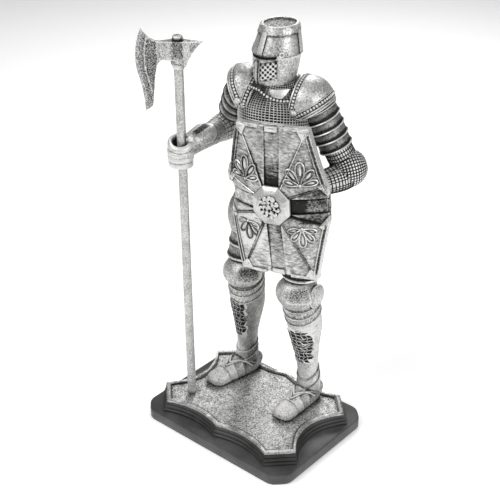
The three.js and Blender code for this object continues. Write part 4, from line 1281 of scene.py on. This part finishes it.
def quarter_border(sx, sz):
    """The border round one quarter, and the bright and dark lines along its slanted side."""
    corners = [sorted((p for p in shield_outline(inset) if p[0] * sx > 0 and p[1] * sz > 0),
                      key=lambda p: abs(p[0])) for inset in (0, BORDER)]
    (tip_out, hip_out), (tip_in, hip_in) = corners
    stop = sx * (HALF_STRIP + 0.004)
    forms = [slab([tip_out, hip_out, hip_in, tip_in], BORDER_FACE),
             slab([(stop, tip_out[1]), tip_out, tip_in, (stop, tip_in[1])], BORDER_FACE)]
    for share, radius, dull in ((0.12, 0.0005, -0.5), (0.55, 0.0004, 1.0), (1, 0.0005, -0.5)):
        tip, hip = ([a + (b - a) * share for a, b in zip(out, inner)]
                    for out, inner in ((tip_out, tip_in), (hip_out, hip_in)))
        line = bowed_line(tip, hip, BORDER_FACE - 0.0001, 14, margin=0.03)
        forms.append(darken(tube(line, radius, 6), dull))
    return forms


def arm_strips():
    """The strip along each arm is open to the plate behind, which rises towards the arm's end."""
    wide, inner, core = HALF_STRIP, HALF_STRIP - 0.001, CORE
    forms = []
    for sz in (-1, 1):
        end = sz * HALF_HEIGHT * ARM_END
        forms.append(slab([(-wide, sz * core), (wide, sz * core), (wide, end), (-wide, end)], -0.0024,
                          edge=0.0002, tilt=(0, -0.03 * sz)))
        foot = end - sz * 0.0035
        bar = slab([(-inner, foot), (inner, foot), (inner, end), (-inner, end)], PANEL_FACE)
        forms.append(darken(bar, -0.3))
    for sx in (-1, 1):
        end = sx * HALF_WAIST * 0.96
        forms.append(slab([(sx * core, -inner), (end, -inner), (end, inner), (sx * core, inner)], -0.0022,
                          edge=0.0002, tilt=(-0.02 * sx, 0)))
    return forms


QUARTERS = [(sx, sz) for sx in (-1, 1) for sz in (-1, 1)]


def shield_arms():
    """The plate behind, the raised plates and borders of the four quarters, and the arms' strips."""
    forms = [slab(shield_outline(0), -0.0014, 0, 0.0003)]
    for quarter in QUARTERS:
        forms += quarter_plates(*quarter) + quarter_border(*quarter)
    return merged(*forms, *arm_strips())


def palmettes():
    """One ornament in each quarter."""
    return [form for sx, sz in QUARTERS for form in palmette(sx * PALMETTE_X, sz * PALMETTE_Z, sz)]


def strip_shade(place):
    """The wash lies thick in the strips beside the boss and thins out towards the arms' ends. It lies
    thinly round the upper leaves, and the lower field on the axe's side is worn bright."""
    x, z = abs(place.x), abs(place.z)
    strip = HALF_STRIP + 0.0001
    if x < strip and z > strip:
        least, more, length = (0.1, 0.65, 0.0165) if place.z > 0 else (0.05, 0.3, 0.03)
        return least + more * clamped(1 - (z - BOSS_WIDTH / 2) / length)
    if z < strip and place.x > strip:
        return 0.85 if x < 0.0225 else 0.4
    if z < HALF_STEP and place.x > 0:
        return 0.45 if x > 0.02 else 0.2
    upper, lower = (0.12, 0.0) if place.x > 0 else (0.1, -0.45)
    field = upper if place.z > 0 else lower
    away = math.hypot(x - PALMETTE_X - 0.001, z - PALMETTE_Z - 0.007)
    return field * clamped((0.017 - away) / 0.007)


def boss():
    """An octagon with a bright bevel and a plain rosette of leaves and pits in its round middle."""
    rings = [(0.0133, -0.001), (0.0133, 0.0006), (0.0127, 0.0013), (0.0086, 0.0027), (0.0078, 0.003),
             (0.0072, 0.003), (0.0055, 0.0032), (0.003, 0.0034), (0.0012, 0.0035)]
    eighth = math.tau / 8
    rows = []
    for k, (radius, rise) in enumerate(rings):
        row = []
        for a in angles(96):
            flat = 1 / math.cos((a + eighth / 2) % eighth - eighth / 2) if k < 3 else 1
            row.append(Vector((radius * flat * math.cos(a), SHIELD_FACE - rise,
                               radius * flat * math.sin(a))))
        rows.append(row)
    ground = skin(rows)
    middle = [vert for vert in ground.verts if math.hypot(vert.co.x, vert.co.z) < 0.0074]
    forms = [darken(ground, 0.9, middle)]
    draw = np.random.default_rng(21)
    for count, reach, size in ((11, 0.0062, 0.0017), (7, 0.0038, 0.0017), (3, 0.0013, 0.0013)):
        for a in angles(count):
            turn, out = draw.uniform(-0.16, 0.16), draw.uniform(-0.0004, 0.0004)
            wide = draw.uniform(0.75, 1.1)
            leaf = ball((0, SHIELD_FACE - 0.0036, reach + out), (size * wide, 0.0007, size * 1.15),
                        around=12, rows=8)
            forms.append(moved(leaf, Matrix.Rotation(a + turn, 4, "Y")))
    for count, reach, start in ((9, 0.0054, 0.2), (5, 0.0026, 0.5)):
        for a in angles(count):
            size, out = draw.uniform(0.0006, 0.0011), reach + draw.uniform(-0.0006, 0.0006)
            place = (out * math.sin(start + a), SHIELD_FACE - 0.0039, out * math.cos(start + a))
            forms.append(darken(ball(place, (size, 0.0006, size), around=8, rows=6), 1.5))
    return merged(*forms)


shield_metal = antique("shield silver", rough=(0.55, 0.4), bump=0.25, Tone=0.6, Wash=1.2, Reach=0.0022,
                       Speckle=0.75, Blotch=0.35, Grain=800.0, Lie=(0, math.radians(50), 0),
                       Stretch=(0.3, 1, 1))
ornament_metal = antique("ornament silver", Tone=0.72, Wash=1.5, Reach=0.0012, Speckle=0.4)
piece("shield_plate", shield_arms(), SHIELD, shield_metal, "shield_silver", "shield", shade=strip_shade)
piece("shield_ornament", merged(*palmettes(), boss()), SHIELD, ornament_metal, "shield_silver", "shield")

# Axe

AXE_BODY, AXE_TURN = 0.0114, 40
KNOB_HEIGHT, SHAFT_RADIUS = 0.0032, 0.0031


def shaft():
    """The round pole with the small knob above the axe's head."""
    low, high, radius = pole_low.z, pole_high.z, SHAFT_RADIUS
    heights = np.linspace(low, high - KNOB_HEIGHT, 40)
    profile = [(0, low), (radius * 0.94, low), (radius, low + 0.0003)] + [(radius, h) for h in heights[1:]]
    knob = pole_high.x - POLE.x
    profile += [(knob * 0.96, high - 0.0031), (knob, high - 0.0029), (knob, high - 0.0016),
                (knob * 0.95, high - 0.0011), (knob * 0.8, high - 0.0002), (knob * 0.4, high), (0, high)]
    return spun(profile, 48)


def axe_collar(foot, cone, top, half):
    """The ring under the socket: a cone below with a painted highlight, and a darker neck above."""
    form = spun([(0, foot), (half * 0.74, foot), (half * 0.76, foot + 0.0003),
                 (half * 0.95, cone - 0.0002), (half * 0.98, cone), (half * 0.98, top), (0, top)], 48)
    darken(form, 0.6)
    # The cone that faces down is painted light: a painted highlight.
    return darken(form, -0.4, [vert for vert in form.verts if vert.co.z < cone - 0.0001])


def axe_head():
    """The bearded blade with its bevelled edge, its socket and the short back spike."""
    length, height, thick, blade_thick, collar_height = 0.0446, 0.053, 0.0098, 0.0026, 0.0065
    blade, spike = length * -0.63, length * 0.37
    high, low = height * 0.28, height * -0.76
    top, bottom = AXE_BODY * 0.6, AXE_BODY * -0.46

    def arc(a, pull, b):
        return curve(a, pull, b, 10)

    edge = arc((blade * 0.8, low), (blade * 0.8, low * 0.7), (blade * 0.94, low * 0.36))
    edge += arc((blade * 0.94, low * 0.36), (blade * 1.05, 0), (blade * 0.83, high))
    edge.append(Vector((blade * 0.83, high)))
    outline = arc((blade * 0.83, high), (blade * 0.7, top * 1.1), (blade * 0.42, top * 0.92))
    outline += arc((blade * 0.42, top * 0.92), (0, top * 1.08), (spike, top * 0.86))
    outline += arc((spike, top * 0.86), (spike * 0.58, top * 0.3),
                   (spike * 0.3, bottom - collar_height * 0.7))
    outline += [Vector((spike * 0.3, bottom - collar_height * 0.7)), Vector((0, bottom))]
    outline += arc((blade * 0.3, bottom), (blade * 0.54, bottom), (blade * 0.56, low * 0.6))
    outline += [Vector((blade * 0.62, low * 0.9))] + edge[:-1]
    form = prism(outline, -1, 1)
    for axis, start, end, gap in ((0, blade * 1.1, spike, 0.0006), (1, -0.6, 0.7, 1.2),
                                  (2, low, high, 0.0012)):
        sliced(form, axis, np.arange(start, end, gap))
    edge_z, edge_x = [p.y for p in edge], [p.x for p in edge]

    def worn(x, z, share, from_edge):
        """The top and the middle of the socket are dull, and so is the blade's inner half. A ridge beside
        the edge and the socket's corner are bright."""
        if abs(share) < 0.9:
            return 0.3 if z > top * 0.4 and x > blade * 0.6 else 0.2
        if x > blade * 0.15:
            return 0.3 if abs(x) < 0.0028 and z > bottom + 0.002 else -0.2 if 0.0035 < x < 0.0075 else 0.05
        if from_edge < 0.0024:
            return -0.05
        if abs(from_edge - 0.006) < 0.0004 and z > low * 0.7:
            return -0.4
        return 0.25 if x < blade * 0.5 else -0.15

    layer = form.verts.layers.float["shade"]
    for vert in form.verts:
        x, z = vert.co.x, vert.co.z
        from_edge = x - float(np.interp(z, edge_z, edge_x))
        vert[layer] = worn(x, z, vert.co.y, from_edge)
        half = float(np.interp(x, [blade * 0.42, blade * 0.2, 0, spike * 0.36, spike],
                               [blade_thick / 2, thick * 0.43, thick / 2, thick * 0.4, 0.0003]))
        if x < blade * 0.3:
            half = min(half, 0.0002 + (half - 0.0002) * min(1, max(0, from_edge) / 0.0036))
        vert.co.y *= half
    bmesh.ops.remove_doubles(form, verts=form.verts, dist=1e-6)
    bmesh.ops.recalc_face_normals(form, faces=form.faces)
    foot, cone = bottom - collar_height, bottom - collar_height * 0.45
    return merged(form, axe_collar(foot, cone, bottom + 0.002, thick / 2))


def shaft_shade(place):
    """A dark line runs round the knob under its bright top."""
    if place.z > pole_high.z - 0.0032 and place.xy.length > 0.0033:
        return 0.8 if place.z < pole_high.z - 0.0018 else 0.45
    return 0.45 if place.z > pole_high.z - 0.0003 else 0.0


shaft_metal = antique("shaft silver", rough=(0.6, 0.5), bump=0.25, metal=0.55, Tone=0.66, Speckle=0.6,
                      Blotch=0.25, Grain=1200.0, Stretch=(1, 1, 0.7))
axe_metal = antique("axe steel", rough=(0.6, 0.45), bump=0.3, metal=0.55, Tone=0.55, Speckle=1.5,
                    Blotch=0.2, Grain=1350.0, Wear=2.5)
piece("axe_pole", shaft(), Matrix.Translation((POLE.x, POLE.y, 0)), shaft_metal, "shaft_silver",
      "axe_shaft", shade=shaft_shade)
AXE = Matrix.Translation((POLE.x, POLE.y, pole_high.z - KNOB_HEIGHT - AXE_BODY * 0.6 - 0.0003))
piece("axe_blade", axe_head(), AXE @ rotation(AXE_TURN), axe_metal, "axe_silver", "axe_head")

# Camera, lights and floor

# The focal length is in pixels of the picture, and the angles are in radians.
IMAGE_SIZE, FOCAL_LENGTH, SENSOR = 500, 1030.816, 36
CAMERA_PLACE = (0.40925, -0.47281, 0.47962)
YAW, PITCH, ROLL = 0.716, 0.49343, math.radians(-0.497)
LIGHTS_AIM = Vector((0, 0, 0.14))
ahead = Vector((-math.sin(YAW) * math.cos(PITCH), math.cos(YAW) * math.cos(PITCH), -math.sin(PITCH)))
level_right = Vector((math.cos(YAW), math.sin(YAW), 0))
level_up = level_right.cross(ahead)
right = level_right * math.cos(ROLL) + level_up * math.sin(ROLL)
up = level_up * math.cos(ROLL) - level_right * math.sin(ROLL)
camera = bpy.data.objects.new("camera", bpy.data.cameras.new("camera"))
camera.matrix_world = Matrix.Translation(CAMERA_PLACE) @ Matrix((right, up, -ahead)).transposed().to_4x4()
camera.data.sensor_width = SENSOR
camera.data.lens = SENSOR * FOCAL_LENGTH / IMAGE_SIZE
bpy.context.collection.objects.link(camera)
bpy.context.scene.camera = camera


def soft_light(name, place, size, power):
    """A round lamp that faces the figure's middle."""
    lamp = bpy.data.lights.new(name, "AREA")
    lamp.shape, lamp.size, lamp.energy = "DISK", size, power
    made = bpy.data.objects.new(name, lamp)
    made.location = place
    made.rotation_euler = (LIGHTS_AIM - Vector(place)).to_track_quat("-Z", "Y").to_euler()
    bpy.context.collection.objects.link(made)


soft_light("key_light", (-0.3, -0.8, 1.1), 0.9, 11)
soft_light("side_light", (1.1, -0.1, 0.7), 0.9, 8)
soft_light("back_light", (-0.5, 0.8, 0.9), 0.6, 7)

floor_form = bmesh.new()
bmesh.ops.create_grid(floor_form, x_segments=8, y_segments=8, size=3)
floor_mesh = bpy.data.meshes.new("floor")
floor_form.to_mesh(floor_mesh)
floor_form.free()
floor_finish, floor_tree, floor_shader = finish("white floor")
feed(floor_tree, floor_shader, Base_Color=(0.95, 0.95, 0.95, 1), Roughness=0.9,
     Emission_Color=(1, 1, 1, 1), Emission_Strength=0.35)
floor_mesh.materials.append(floor_finish)
floor = bpy.data.objects.new("floor", floor_mesh)
bpy.context.collection.objects.link(floor)


def white_room():
    """A room that is white to look at and lights the metal from above, darker towards its walls."""
    made = bpy.data.worlds.new("white room")
    made.use_nodes = True
    tree = made.node_tree
    towards = add(tree, "TexCoord").outputs["Generated"]
    height = add(tree, "SeparateXYZ", Vector=towards).outputs["Z"]
    soft = add(tree, "TexNoise", Vector=towards, Scale=1.6, Detail=1.0).outputs[0]
    glow = maths(tree, "MULTIPLY_ADD", fade(tree, height, -0.1, 0.9), 0.5, 0.45)
    glow = maths(tree, "MULTIPLY", glow,
                 maths(tree, "MULTIPLY_ADD", fade(tree, soft, 0.35, 0.65), 0.5, 0.6))
    seen = add(tree, "LightPath").outputs["Is Camera Ray"]
    strength = maths(tree, "MAXIMUM", maths(tree, "MULTIPLY", seen, 1.05), glow)
    tree.links.new(strength, tree.nodes["Background"].inputs["Strength"])
    return made


bpy.context.scene.world = white_room()
bpy.context.scene.view_settings.view_transform = "Standard"
